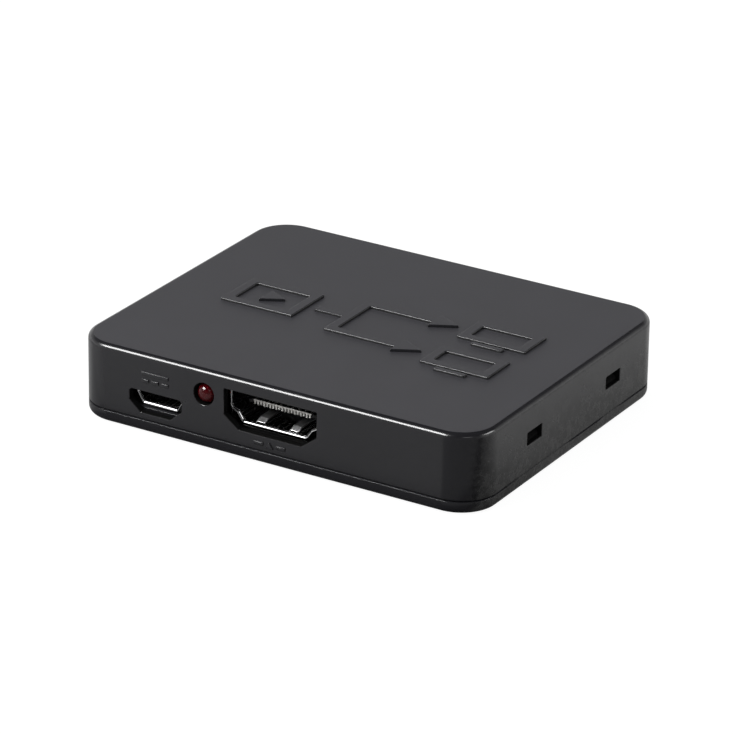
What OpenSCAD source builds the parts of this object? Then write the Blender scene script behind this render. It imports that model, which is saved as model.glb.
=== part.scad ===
// A two-way video splitter: a flat case of two covers that snap together, with
// the video input, the power socket and a lamp at the front, the two video
// outputs at the back, and the circuit board that carries them inside.
// Millimetres. The origin is the middle of the underside, +Z is up, and the
// input faces -Y.

/* [Case] */
// Width of the case, side to side
case_w = 66; // [63:0.5:80]
// Depth of the case, front to back
case_d = 53.6; // [52:0.1:70]
// Radius of the upright corners
corner_r = 5.7; // [4.5:0.1:7]
// Radius along the roof's edge
roof_edge_r = 0.9; // [0.4:0.1:1]
// Radius along the underside's edge
base_edge_r = 0.9; // [0.4:0.1:1.2]
// Thickness of the upright walls
wall_t = 1.2; // [1:0.1:1.6]
// Thickness of the roof
roof_t = 1.2; // [1:0.1:2]
// Thickness of the floor
floor_t = 1.4; // [1.2:0.1:2]
// Free height between the video sockets and the roof
head_room = 0.67; // [0.5:0.01:3]

/* [Seam between the covers] */
// Height of the bottom cover's rim above its floor
rim_h = 0.4; // [0.3:0.1:0.8]
// Height of the shadow line between the covers
shadow_h = 0.2; // [0.1:0.05:0.4]
// Depth of the shadow line
shadow_depth = 0.5; // [0.2:0.1:0.7]
// Height of the locating lip above the rim
lip_h = 1.4; // [0.8:0.1:1.5]
// Thickness of the locating lip
lip_t = 0.9; // [0.6:0.1:1.2]
// Gap between the lip and the wall of the top cover
lip_gap = 0.15; // [0.05:0.05:0.3]

/* [Snap hooks] */
// Distance of the front pair of hooks from the case's front
hook_front_inset = 16; // [14:0.1:20]
// Distance of the rear pair of hooks from the case's back
hook_rear_inset = 15; // [13:0.1:20]
// Width of a hook
hook_w = 3.7; // [2.5:0.1:5]
// Thickness of a hook's arm
hook_t = 0.9; // [0.6:0.1:1.1]
// Gap between a hook's arm and the wall of the top cover
hook_gap = 0.2; // [0.1:0.05:0.4]
// Height of a catch's holding face above the underside
catch_z = 6; // [5:0.1:7]
// Height of a catch
catch_h = 1.4; // [1:0.1:1.8]
// How far a catch stands out from its arm
catch_reach = 0.9; // [0.6:0.05:1]
// Height of the flat at a catch's outer edge
catch_flat = 0.5; // [0.2:0.1:0.8]
// Height of the arm above its catch
hook_tip = 0.15; // [0.1:0.05:0.5]
// Angle through which a hook bends to let go
hook_flex = 11; // [8:0.5:14]
// Gap round the root of a hook in its seat
root_gap = 0.05; // [0.03:0.01:0.1]
// Gap between a catch's holding face and its window
catch_play = 0.07; // [0.03:0.01:0.2]
// Gap between a catch and the sides of its window
window_side = 0.2; // [0.1:0.05:0.4]
// Gap between a catch's top and its window
window_head = 0.39; // [0.2:0.01:0.8]

/* [Circuit board and posts] */
// Thickness of the circuit board
board_t = 1.6; // [1:0.1:2]
// Free height under the board
board_lift = 0.95; // [0.9:0.05:2]
// Gap between the board's edge and the locating lip
board_play = 0.25; // [0.1:0.05:0.5]
// Distance of the posts from the case's sides
post_inset_x = 6.5; // [6:0.1:7.5]
// Distance of the posts from the case's front and back
post_inset_y = 7.3; // [6.5:0.1:8.5]
// Diameter of a post
post_d = 4.4; // [3.6:0.1:4.8]
// Diameter of the pin on a post
pin_d = 1.8; // [1.2:0.1:2]
// How far a pin stands above the board
pin_rise = 2; // [1:0.1:3]
// Gap round a pin
pin_gap = 0.2; // [0.1:0.05:0.3]

/* [Video sockets] */
// Inside width of a video socket
socket_w = 14; // [13.5:0.1:14.6]
// Inside height of a video socket
socket_h = 4.55; // [4.45:0.05:4.9]
// Length of a video socket
socket_len = 11; // [10.6:0.1:11.6]
// Width of the flat floor inside a video socket
socket_floor_w = 10.1; // [9.8:0.1:10.6]
// Height of a video socket's upright sides
socket_side_h = 2.75; // [2.4:0.05:3]
// How far the shoulders under a video socket's sides step in
socket_shoulder = 1.15; // [0.8:0.05:1.4]
// How far those shoulders fall on their way in
socket_shoulder_drop = 0.6; // [0.3:0.05:0.9]
// Thickness of a video socket's sheet metal
sheet_t = 0.3; // [0.2:0.05:0.4]
// How far a video socket's mouth stands out from its sides
socket_flare = 0.18; // [0.1:0.02:0.24]
// Length of a video socket's wider mouth
socket_flare_len = 0.7; // [0.5:0.1:1]
// Gap between a video socket and the board
socket_stand = 1.03; // [0.9:0.01:1.5]
// Gap between a socket's mouth and the inside of the case
mouth_gap = 0.05; // [0.03:0.01:0.3]
// Distance of an output socket's middle from the side of the case
output_inset = 18; // [16:0.1:21]
// Width of the insulating tongue
tongue_w = 11; // [10.6:0.1:11.4]
// Thickness of the insulating tongue
tongue_t = 0.55; // [0.5:0.05:0.8]
// How far the tongue lies below the socket's middle
tongue_drop = 0.1; // [0:0.05:0.3]
// Distance of the tongue's edge behind the mouth
tongue_inset = 2.15; // [1.8:0.05:2.6]
// Gap between the spring fingers' tips and the insulating block
block_gap = 0.9; // [0.4:0.1:1.5]
// Width of a contact
contact_w = 0.3; // [0.2:0.02:0.36]
// Thickness of a contact
contact_t = 0.16; // [0.12:0.02:0.24]
// Distance between neighbouring contacts of one row
contact_pitch = 1; // [0.9:0.02:1.05]
// Width of a spring finger
finger_w = 1.4; // [1.2:0.1:2]
// Distance between the two spring fingers of a pair
finger_pitch = 5.5; // [4.6:0.1:6]
// Length of a spring finger from its root to its tip
finger_len = 4.7; // [4:0.1:5.2]
// Thickness of a spring finger
finger_t = 0.25; // [0.15:0.05:0.3]
// How far a spring finger bows into the socket
finger_bow = 0.42; // [0.3:0.02:0.6]
// Distance of a spring finger's root behind the wider mouth
finger_set_back = 0.25; // [0.2:0.05:0.6]

/* [Cut-outs in the case] */
// Width of a video socket's cut-out
cutout_w = 15.1; // [14.8:0.1:16]
// Height of a video socket's cut-out
cutout_h = 5.7; // [5.2:0.1:6]
// Width of the bottom of a video socket's cut-out
cutout_floor_w = 10.2; // [9.6:0.1:12]
// Height of the cut-out's upright sides
cutout_side_h = 3.85; // [3:0.05:4.5]
// How far the cut-out's middle lies below the socket's
cutout_drop = 0.45; // [0.3:0.05:0.6]

/* [Power socket] */
// Distance of the power socket's middle from the left side of the case
power_inset = 14; // [12.5:0.1:16]
// Inside width of the power socket
power_w = 6.9; // [6.7:0.1:7.4]
// Inside height of the power socket
power_h = 1.85; // [1.8:0.05:2.2]
// Width of the flat floor inside the power socket
power_floor_w = 5.6; // [4.8:0.1:5.8]
// Height of the power socket's upright sides
power_side_h = 0.6; // [0.5:0.05:1]
// Length of the power socket
power_len = 5.3; // [5:0.1:6]
// Thickness of the power socket's sheet metal
power_sheet_t = 0.25; // [0.2:0.05:0.3]
// How far the power socket's mouth flares up and down
power_flare = 0.35; // [0.2:0.05:0.5]
// Length of the flared mouth
power_flare_len = 0.6; // [0.4:0.1:1]
// Gap between the power socket and the board
power_stand = 0.05; // [0.03:0.01:0.2]
// Width of the power socket's cut-out
power_cut_w = 8.75; // [8.3:0.05:10]
// Width of the bottom of the power socket's cut-out
power_cut_floor_w = 5; // [4.4:0.1:6]
// Height of the power socket's cut-out above the socket's middle
power_cut_top = 1.1; // [1:0.05:1.6]
// Depth of the power socket's cut-out below the socket's middle
power_cut_low = 2.2; // [1.8:0.05:2.6]
// Height of the upright sides of the power socket's cut-out
power_cut_side_h = 1.35; // [0.8:0.05:1.6]
// Size of the cuts at the power cut-out's upper corners
power_cut_corner = 0.35; // [0.1:0.05:0.6]

/* [Lamp] */
// How far the lamp lies right of the middle between the power socket and the input
lamp_shift = 0.525; // [-0.5:0.025:0.8]
// Height of the lamp's axis above the board
lamp_rise = 4.33; // [3.5:0.01:4.6]
// Diameter of the lamp's lens
lamp_d = 3; // [2.6:0.1:3.2]
// Length of the lamp's lens
lamp_len = 5.3; // [4.5:0.1:6]
// Diameter of the flange at the lens's back
lamp_flange_d = 3.8; // [3.4:0.1:4.2]
// Thickness of the flange
lamp_flange_t = 1; // [0.6:0.1:1.4]
// How far the lens stands proud of the case
lamp_proud = 0.25; // [0:0.05:0.6]
// Gap round the lens in its hole
lamp_gap = 0.17; // [0.1:0.01:0.3]
// Distance between the lamp's leads
lead_pitch = 2.54; // [2:0.02:2.6]
// Thickness of a lead
lead_t = 0.5; // [0.4:0.05:0.6]
// Distance of the leads' bend behind the lens
lead_bend = 0.9; // [0.6:0.1:1.5]

/* [Raised marks] */
// Height of the raised mark on the roof
roof_mark_h = 0.4; // [0.2:0.05:0.6]
// Height of the small raised marks at the front and back
face_mark_h = 0.2; // [0.1:0.05:0.4]
// Width of the lines of the roof's mark
roof_line = 1.5; // [1:0.1:1.8]
// Width of the lines of the small marks
face_line = 0.5; // [0.3:0.05:0.6]

/* [Hidden] */
$fn = 64;

// Sockets stand on the board, and the case takes its height from them.
board_z = floor_t + board_lift;
board_top = board_z + board_t;
socket_z = board_top + socket_stand + sheet_t + socket_h / 2;
ceiling_z = socket_z + socket_h / 2 + sheet_t + head_room;
case_h = ceiling_z + roof_t;
seam_z = floor_t + rim_h;
straight_w = case_w - 2 * corner_r;
straight_d = case_d - 2 * corner_r;
inside_w = case_w - 2 * wall_t;
inside_d = case_d - 2 * wall_t;
lip_out = corner_r - wall_t - lip_gap;
lip_in = lip_out - lip_t;
board_inset = corner_r - lip_in + board_play;
board_w = case_w - 2 * board_inset;
board_d = case_d - 2 * board_inset;
post_x = case_w / 2 - post_inset_x;
post_y = case_d / 2 - post_inset_y;
mouth_y = inside_d / 2 - mouth_gap;
output_x = case_w / 2 - output_inset;
power_x = power_inset - case_w / 2;
power_right = power_x + power_w / 2 + power_sheet_t;
lamp_x = (power_right - cutout_w / 2) / 2 + lamp_shift;

hook_front_y = hook_front_inset - case_d / 2;
hook_rear_y = case_d / 2 - hook_rear_inset;

// A hook turns about the middle of its round root, which sits in the floor.
root_r = hook_t / 2;
root_rise = 0.1;
root_z = floor_t + root_rise;
root_x = inside_w / 2 - hook_gap - root_r;
hook_out_x = root_x + root_r;
hook_top = catch_z + catch_h + hook_tip;
hook_room = 0.4;
notch_reach = (board_top - root_z) * tan(hook_flex) + hook_room;
notch_x = hook_out_x - hook_t - notch_reach;

// Fits and small details that several pieces share.
fit = 0.05;
slot_room = 0.2;
leg_w = 1.6;
leg_out = 0.5;
leg_places = [2.6, socket_len - 2];
power_leg_places = [2.4, power_len - 0.9];
corner_cut = 0.3;
foot_len = 1.2;
tail_gap = 0.2;
cut_past = 1;
sunk = 0.3;

// A spring finger turns about its round root in the middle of the sheet. It is
// bowed most at seven tenths of its length, and its tip comes part of the way back.
finger_root_y = socket_flare_len + finger_set_back;
finger_root_z = (socket_h + sheet_t) / 2;
finger_bow_y = finger_root_y + 0.7 * finger_len;
finger_tip_y = finger_root_y + finger_len;
finger_tip_z = finger_root_z - 0.65 * finger_bow;
block_y = finger_tip_y + block_gap;
block_len = socket_len - block_y;

// The cross sections of the sockets, as points across and up from their middles.
socket_step = [socket_shoulder, socket_shoulder_drop];
socket_outline = socket_section(socket_w, socket_h, socket_floor_w, socket_side_h, [socket_step]);
power_outline = socket_section(power_w, power_h, power_floor_w, power_side_h);
power_z = board_top + power_stand + power_sheet_t + power_h / 2;
lamp_z = board_top + lamp_rise;
lamp_tip_y = -case_d / 2 - lamp_proud;
lamp_back_y = lamp_tip_y + lamp_len;
lead_depth = 0.7;
lead_bend_y = lamp_back_y + lead_bend;

// A box section with two slanted lower corners and small cuts at the upper ones.
// A shoulder, where there is one, steps in and down from the foot of each side.
function socket_section(w, h, floor_w, side_h, shoulders = []) = [
    [-floor_w / 2, -h / 2],
    [floor_w / 2, -h / 2],
    for (step = shoulders) [w / 2 - step.x, h / 2 - side_h - step.y],
    [w / 2, h / 2 - side_h],
    [w / 2, h / 2 - corner_cut],
    [w / 2 - corner_cut, h / 2],
    [-w / 2 + corner_cut, h / 2],
    [-w / 2, h / 2 - corner_cut],
    [-w / 2, h / 2 - side_h],
    for (step = shoulders) [-w / 2 + step.x, h / 2 - side_h - step.y]
];

// The outward direction square to the edge from a to b.
function outward(a, b) = [b.y - a.y, a.x - b.x] / norm(b - a);

// An outline with every edge moved out by the distance d.
function grow(points, d) = [
    for (i = [0:len(points) - 1])
        let (
            before = points[(i + len(points) - 1) % len(points)],
            here = points[i],
            after = points[(i + 1) % len(points)],
            n = outward(before, here),
            m = outward(here, after)
        )
        here + d * (n + m) / (1 + n * m)
];

// A power socket's outline with its floor and its roof moved out by the distance d.
function opened(points, d) = [
    for (p = points) [p.x, p.y + (abs(p.y) > power_h / 2 - fit ? d * sign(p.y) : 0)]
];

// Shapes that several pieces share

module quarter_disc(r) {
    intersection() {
        circle(r);
        square(r);
    }
}

module rounded_rect(w, d, r) {
    square([w - 2 * r, d], center = true);
    for (side = [-1, 1])
        translate([side * (w - r) / 2, 0]) square([r, d - 2 * r], center = true);
    for (k = [0:3])
        translate([(k % 3 == 0 ? 1 : -1) * (w / 2 - r), (k < 2 ? 1 : -1) * (d / 2 - r)])
            rotate(90 * k) quarter_disc(r);
}

// A bar section of length r whose upper outer corner is rounded by the radius edge.
module rounded_bar(r, low, high, edge) {
    translate([0, low]) square([r - edge, high - low]);
    translate([r - edge, low]) square([edge, high - low - edge]);
    translate([r - edge, high - edge]) quarter_disc(edge);
}

// Carries a section, drawn out from a corner's axis and up, all round the case.
module round_the_case() {
    for (k = [0:3])
        translate([
            (k % 3 == 0 ? 1 : -1) * straight_w / 2,
            (k < 2 ? 1 : -1) * straight_d / 2,
            0
        ])
            rotate(90 * k) rotate_extrude(angle = 90) children();
    for (k = [0:3]) {
        run = k % 2 == 0 ? straight_d : straight_w;
        out = k % 2 == 0 ? straight_w : straight_d;
        rotate(90 * k) translate([out / 2, run / 2, 0])
            rotate([90, 0, 0]) linear_extrude(run) children();
    }
}

module between_corners(low, high) {
    translate([-straight_w / 2, -straight_d / 2, low])
        cube([straight_w, straight_d, high - low]);
}

// Runs a section, drawn across and up, back from a mouth at y = start.
module run_back(start, length) {
    translate([0, start + length, 0]) rotate([90, 0, 0]) linear_extrude(length) children();
}

// Runs a section, drawn back from a mouth and up, across a width.
module run_across(width) {
    translate([-width / 2, 0, 0]) rotate([90, 0, 90]) linear_extrude(width) children();
}

module at_posts() {
    for (x = [-post_x, post_x], y = [-post_y, post_y]) translate([x, y, 0]) children();
}

module at_input() {
    translate([0, -mouth_y, socket_z]) children();
}

module at_output(number) {
    translate([(number == 1 ? 1 : -1) * output_x, mouth_y, socket_z])
        rotate(180) children();
}

module at_each_socket() {
    at_input() children();
    for (number = [1, 2]) at_output(number) children();
}

module at_power() {
    translate([power_x, -mouth_y, power_z]) children();
}

module at_hook(side, y) {
    translate([0, y, 0]) mirror([side < 0 ? 1 : 0, 0, 0]) children();
}

module at_each_hook() {
    for (side = [-1, 1], y = [hook_front_y, hook_rear_y]) at_hook(side, y) children();
}

// Raised marks

module outline_box(w, h, line) {
    difference() {
        square([w, h], center = true);
        square([w - 2 * line, h - 2 * line], center = true);
    }
}

module arrow_head(length, width) {
    polygon([[0, -width / 2], [length, 0], [0, width / 2]]);
}

// One player on the left feeds two screens on the right.
module roof_mark() {
    player = [12, 9];
    screen = [11, 6.4];
    player_x = -16.5;
    fork_x = -3.5;
    screen_x = 18.5;
    branch_y = 5.2;
    arrow_x = 7.5;
    arrow = [4, 4.2];
    stand = [5, 0.9];
    translate([player_x, 0]) {
        outline_box(player.x, player.y, roof_line);
        translate([-1.2, 0]) arrow_head(3.4, 3.8);
    }
    translate([player_x + player.x / 2 + roof_line, -roof_line / 2])
        square([fork_x - player_x - player.x / 2 - roof_line, roof_line]);
    translate([fork_x, 0]) square([roof_line, 2 * branch_y + roof_line], center = true);
    for (side = [-1, 1]) translate([0, side * branch_y]) {
        translate([fork_x, -roof_line / 2]) square([arrow_x - fork_x, roof_line]);
        translate([arrow_x, 0]) arrow_head(arrow.x, arrow.y);
        translate([screen_x, 0]) {
            outline_box(screen.x, screen.y, roof_line);
            translate([0, -screen.y / 2 - stand.y]) square(stand, center = true);
        }
    }
}

// A full line over three short ones: direct current.
module power_mark() {
    mark_w = 4.5;
    gap = 0.45;
    dash_w = (mark_w - 2 * gap) / 3;
    line_y = 0.55;
    translate([0, line_y]) square([mark_w, face_line], center = true);
    for (k = [-1:1])
        translate([k * (dash_w + gap), -line_y]) square([dash_w, face_line], center = true);
}

// An arrow head between two short lines, turned up for in and down for out.
module flow_mark(turn) {
    head = [0.95, 1.3];
    dash_w = 1.5;
    dash_x = 1.8;
    rotate(90 * turn) translate([-head.x / 2, 0]) arrow_head(head.x, head.y);
    for (side = [-1, 1])
        translate([side * dash_x, 0]) square([dash_w, face_line], center = true);
}

// As many round pips as the output's number.
module number_pips(number) {
    pip_d = 0.75;
    pip_pitch = 1.2;
    first_x = 3.5;
    for (k = [1:number]) translate([first_x + (k - 1) * pip_pitch, 0]) circle(d = pip_d);
}

module on_face(x, z) {
    translate([x, -case_d / 2 + sunk, z]) rotate([90, 0, 0])
        linear_extrude(sunk + face_mark_h) children();
}

module face_marks() {
    mark_z = (seam_z + shadow_h + socket_z - cutout_drop - cutout_h / 2) / 2;
    power_mark_z = power_z + 3.4;
    on_face(power_x, power_mark_z) power_mark();
    on_face(0, mark_z) flow_mark(1);
    for (number = [1, 2])
        rotate(180) on_face((number == 1 ? -1 : 1) * output_x, mark_z) {
            flow_mark(-1);
            number_pips(number);
        }
}

// The two covers

module video_cutout() {
    depth = wall_t + 2 * cut_past;
    translate([0, 0, -cutout_drop]) run_back(-depth + cut_past, depth + cut_past / 2)
        polygon([
            [-cutout_floor_w / 2, -cutout_h / 2],
            [cutout_floor_w / 2, -cutout_h / 2],
            [cutout_w / 2, cutout_h / 2 - cutout_side_h],
            [cutout_w / 2, cutout_h / 2],
            [-cutout_w / 2, cutout_h / 2],
            [-cutout_w / 2, cutout_h / 2 - cutout_side_h]
        ]);
}

module power_cutout() {
    depth = wall_t + 2 * cut_past;
    side_top = power_cut_top - power_cut_corner;
    run_back(-depth + cut_past, depth) polygon([
        [-power_cut_floor_w / 2, -power_cut_low],
        [power_cut_floor_w / 2, -power_cut_low],
        [power_cut_w / 2, side_top - power_cut_side_h],
        [power_cut_w / 2, side_top],
        [power_cut_w / 2 - power_cut_corner, power_cut_top],
        [-power_cut_w / 2 + power_cut_corner, power_cut_top],
        [-power_cut_w / 2, side_top],
        [-power_cut_w / 2, side_top - power_cut_side_h]
    ]);
}

module top_cover_shell() {
    round_the_case() difference() {
        rounded_bar(corner_r, seam_z, case_h, roof_edge_r);
        translate([-cut_past, 0]) square([corner_r - wall_t + cut_past, ceiling_z]);
        translate([corner_r - shadow_depth, 0])
            square([shadow_depth + cut_past, seam_z + shadow_h]);
    }
    between_corners(ceiling_z, case_h);
}

module top_cover() {
    socket_d = pin_d + 2 * pin_gap;
    color("#2b2b2d") difference() {
        union() {
            top_cover_shell();
            at_posts() translate([0, 0, board_top])
                cylinder(d = post_d, h = ceiling_z - board_top + sunk);
            translate([0, 0, case_h - sunk]) linear_extrude(sunk + roof_mark_h) roof_mark();
            face_marks();
        }
        at_posts() translate([0, 0, board_top - cut_past])
            cylinder(d = socket_d, h = pin_rise + pin_gap + cut_past);
        at_each_socket() video_cutout();
        at_power() power_cutout();
        translate([lamp_x, -case_d / 2 - cut_past, lamp_z]) rotate([-90, 0, 0])
            cylinder(d = lamp_d + 2 * lamp_gap, h = wall_t + 2 * cut_past);
        at_each_hook() translate([
            hook_out_x,
            -hook_w / 2 - window_side,
            catch_z - catch_play
        ])
            cube([
                hook_gap + wall_t + cut_past,
                hook_w + 2 * window_side,
                catch_play + catch_h + window_head
            ]);
    }
}

module bottom_cover_shell() {
    round_the_case() {
        translate([0, seam_z]) mirror([0, 1]) difference() {
            rounded_bar(corner_r, 0, seam_z, base_edge_r);
            translate([-cut_past, -cut_past]) square([lip_in + cut_past, rim_h + cut_past]);
        }
        translate([lip_in, seam_z]) square([lip_t, lip_h]);
    }
    between_corners(0, floor_t);
}

module bottom_cover() {
    seat_r = root_r + root_gap;
    seat_w = hook_w + 2 * hook_room;
    color("#262628") difference() {
        union() {
            bottom_cover_shell();
            at_posts() {
                cylinder(d = post_d, h = board_z);
                cylinder(d = pin_d, h = board_top + pin_rise);
            }
        }
        at_each_hook() {
            translate([root_x, seat_w / 2, root_z]) rotate([90, 0, 0])
                cylinder(r = seat_r, h = seat_w);
            translate([lip_in + straight_w / 2 - cut_past, -seat_w / 2, floor_t])
                cube([lip_t + lip_gap + cut_past, seat_w, rim_h + lip_h + cut_past]);
        }
    }
}

// The hook on the right side, at y = 0
module hook() {
    color("#2b2b2d") {
        translate([root_x, hook_w / 2, root_z]) rotate([90, 0, 0])
            cylinder(r = root_r, h = hook_w);
        translate([0, hook_w / 2, 0]) rotate([90, 0, 0]) linear_extrude(hook_w)
            polygon([
                [hook_out_x - hook_t, root_z],
                [hook_out_x, root_z],
                [hook_out_x, catch_z],
                [hook_out_x + catch_reach, catch_z],
                [hook_out_x + catch_reach, catch_z + catch_flat],
                [hook_out_x, catch_z + catch_h],
                [hook_out_x, hook_top],
                [hook_out_x - hook_t, hook_top]
            ]);
    }
}

// The circuit board

module circuit_board() {
    hole_d = pin_d + 2 * pin_gap;
    notch_w = hook_w + 2 * hook_room;
    color("#17191b") difference() {
        translate([0, 0, board_z]) linear_extrude(board_t)
            rounded_rect(board_w, board_d, lip_in - board_play);
        translate([0, 0, board_z - cut_past]) {
            at_posts() cylinder(d = hole_d, h = board_t + 2 * cut_past);
            at_each_hook() translate([notch_x, -notch_w / 2, 0])
                cube([case_w, notch_w, board_t + 2 * cut_past]);
        }
        at_each_socket() video_legs(slot_room);
        at_power() power_legs(slot_room / 2);
        lamp_tails(slot_room / 2);
    }
}

// The video sockets, each drawn with its mouth at y = 0 and its middle at z = 0

module video_legs(room) {
    low = board_z - leg_out - socket_z;
    for (side = [-1, 1], y = leg_places)
        translate([side * (socket_w + sheet_t) / 2, y, low / 2])
            cube([sheet_t + 2 * room, leg_w + 2 * room, -low], center = true);
}

module finger_windows(up) {
    root_room = finger_t / 2 + fit;
    for (side = [-1, 1])
        translate([
            side * finger_pitch / 2 - finger_w / 2 - 2 * fit,
            finger_root_y - root_room,
            up > 0 ? 0 : -socket_h
        ])
            cube([finger_w + 4 * fit, finger_len + 2 * root_room, socket_h]);
}

module video_shell() {
    color("#b9bcc0") {
        difference() {
            union() {
                run_back(0, socket_len) polygon(grow(socket_outline, sheet_t));
                run_back(0, socket_flare_len)
                    polygon(grow(socket_outline, sheet_t + socket_flare));
            }
            run_back(-cut_past, socket_len + 2 * cut_past) polygon(socket_outline);
            run_back(-cut_past, cut_past + socket_flare_len - sheet_t)
                polygon(grow(socket_outline, socket_flare));
            finger_windows(1);
            finger_windows(-1);
        }
        video_legs(0);
    }
}

// A pair of spring fingers: up is 1 for the pair in the roof and -1 in the floor.
module video_springs(up) {
    half = finger_t / 2;
    color("#a9acb0") for (side = [-1, 1])
        translate([side * finger_pitch / 2, 0, 0]) mirror([0, 0, up > 0 ? 0 : 1]) {
            translate([-finger_w / 2, finger_root_y, finger_root_z]) rotate([0, 90, 0])
                cylinder(r = half, h = finger_w);
            run_across(finger_w) polygon([
                [finger_root_y, finger_root_z - half],
                [finger_bow_y, finger_root_z - finger_bow - half],
                [finger_tip_y, finger_tip_z - half],
                [finger_tip_y, finger_tip_z + half],
                [finger_bow_y, finger_root_z - finger_bow + half],
                [finger_root_y, finger_root_z + half]
            ]);
        }
}

// Ten contacts lie on the tongue and nine under it, and their feet make one row.
upper_row = [for (k = [0:9]) (k - 4.5) * contact_pitch];
lower_row = [for (k = [0:8]) (k - 4) * contact_pitch];
tongue_top = tongue_t / 2 - tongue_drop;
tongue_low = -tongue_t / 2 - tongue_drop;

module video_insulator() {
    slot = [contact_w + 2 * fit, block_len + 2 * cut_past, contact_t + fit];
    color("#1c1c1e") difference() {
        union() {
            run_back(block_y, block_len) polygon(grow(socket_outline, -fit));
            translate([-tongue_w / 2, tongue_inset, tongue_low])
                cube([tongue_w, block_y - tongue_inset + sunk, tongue_t]);
        }
        for (x = upper_row)
            translate([x - slot.x / 2, block_y, tongue_top]) cube(slot);
        for (x = lower_row)
            translate([x - slot.x / 2, block_y, tongue_low - slot.z]) cube(slot);
    }
}

// A contact's side view: a strip at the height z, a tail behind the block and a foot.
module contact_view(z, start, back, foot_z) {
    tail_y = back + tail_gap;
    translate([start, z]) square([tail_y + contact_t - start, contact_t]);
    translate([tail_y, foot_z]) square([contact_t, z + contact_t - foot_z]);
    translate([tail_y, foot_z]) square([foot_len, contact_t]);
}

// The tip of a contact is turned over the tongue's front edge.
module contact_tip(low) {
    translate([tongue_inset - contact_t, low]) square([contact_t, tongue_t + contact_t]);
}

module video_contacts() {
    start = tongue_inset - contact_t;
    under = tongue_low - contact_t;
    foot_z = board_top - socket_z;
    color("#c6c4be") {
        for (x = upper_row) translate([x, 0, 0]) run_across(contact_w) {
            contact_view(tongue_top, start, socket_len, foot_z);
            contact_tip(tongue_low);
        }
        for (x = lower_row) translate([x, 0, 0]) run_across(contact_w) {
            contact_view(under, start, socket_len, foot_z);
            contact_tip(under);
        }
    }
}

// The power socket, drawn with its mouth at y = 0 and its middle at z = 0

module power_legs(room) {
    width = 0.8;
    low = board_z - leg_out - power_z;
    for (side = [-1, 1], y = power_leg_places)
        translate([side * (power_w + power_sheet_t) / 2, y, low / 2])
            cube([power_sheet_t + 2 * room, width + 2 * room, -low], center = true);
}

// A mouth that opens by the flare towards y = 0
module flared_mouth(extra, past) {
    slice = 0.02;
    outline = grow(power_outline, extra);
    hull() {
        run_back(-past, past + slice) polygon(opened(outline, power_flare));
        run_back(power_flare_len, slice) polygon(outline);
    }
}

module power_shell() {
    color("#b9bcc0") {
        difference() {
            union() {
                run_back(0, power_len) polygon(grow(power_outline, power_sheet_t));
                flared_mouth(power_sheet_t, 0);
            }
            run_back(-cut_past, power_len + 2 * cut_past) polygon(power_outline);
            flared_mouth(0, 0.01);
        }
        power_legs(0);
    }
}

power_block_len = 1.6;
power_tongue = [3.7, 0.6];
power_tongue_inset = 1.3;
power_tongue_z = 0.2;
power_contact_pitch = 0.65;
power_row = [for (k = [-2:2]) k * power_contact_pitch];

module power_insulator() {
    block_y = power_len - power_block_len;
    slot = [contact_w + 2 * fit, power_block_len + cut_past, contact_t + fit];
    color("#1c1c1e") difference() {
        union() {
            run_back(block_y, power_block_len) polygon(grow(power_outline, -fit));
            translate([-power_tongue.x / 2, power_tongue_inset, power_tongue_z - power_tongue.y / 2])
                cube([power_tongue.x, block_y - power_tongue_inset + sunk, power_tongue.y]);
        }
        for (x = power_row)
            translate([x - slot.x / 2, block_y, power_tongue_z - power_tongue.y / 2 - slot.z])
                cube(slot);
    }
}

module power_contacts() {
    under = power_tongue_z - power_tongue.y / 2 - contact_t;
    color("#c6c4be") for (x = power_row)
        translate([x, 0, 0]) run_across(contact_w)
            contact_view(under, power_tongue_inset + sunk, power_len, board_top - power_z);
}

// The lamp

module lamp_lens() {
    r = lamp_d / 2;
    pocket = lead_t + 2 * fit;
    color("#b3122a") difference() {
        translate([lamp_x, lamp_back_y, lamp_z]) rotate([90, 0, 0]) rotate_extrude() {
            square([lamp_flange_d / 2, lamp_flange_t]);
            square([r, lamp_len - r]);
            translate([0, lamp_len - r]) quarter_disc(r);
        }
        for (side = [-1, 1])
            translate([lamp_x + side * lead_pitch / 2, lamp_back_y, lamp_z])
                cube([pocket, 2 * (lead_depth + fit), pocket], center = true);
    }
}

module lamp_tails(room) {
    low = board_z - leg_out;
    for (side = [-1, 1])
        translate([lamp_x + side * lead_pitch / 2, lead_bend_y, (low + lamp_z) / 2])
            cube([lead_t + 2 * room, lead_t + 2 * room, lamp_z - low], center = true);
}

module lamp_leads() {
    start = lamp_back_y - lead_depth;
    length = lead_bend_y + lead_t / 2 - start;
    color("#c4c7ca") {
        lamp_tails(0);
        for (side = [-1, 1])
            translate([lamp_x + side * lead_pitch / 2, start + length / 2, lamp_z])
                cube([lead_t, length, lead_t], center = true);
    }
}

// The parts on the board, each drawn with its foot at z = 0

module on_board(x, y) {
    translate([x, y, board_top]) children();
}

// A bent lead from a body's side, drawn out and up: a shoulder, a slope and a foot
module bent_lead(width, out) {
    shoulder = 0.28 * out;
    foot = 0.45 * out;
    slant = 0.15 * out;
    run_across(width) polygon([
        [0, lead_rise + bent_lead_t],
        [shoulder + slant, lead_rise + bent_lead_t],
        [foot + slant, bent_lead_t],
        [out, bent_lead_t],
        [out, 0],
        [foot, 0],
        [shoulder, lead_rise],
        [0, lead_rise]
    ]);
}

// A row of bent leads of the given width and reach, along a body's side at y = side
module lead_row(count, pitch, side, lead) {
    for (k = [0:count - 1])
        translate([(k - (count - 1) / 2) * pitch, side, 0]) bent_lead(lead.x, lead.y);
}

chip_place = [3, 0];
chip_side = 10;
chip_h = 1.4;
body_lift = 0.1;
lead_rise = 0.6;
bent_lead_t = 0.15;
chip_leads_a_side = 16;
chip_lead = [0.22, 1];
chip_lead_pitch = 0.5;

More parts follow.
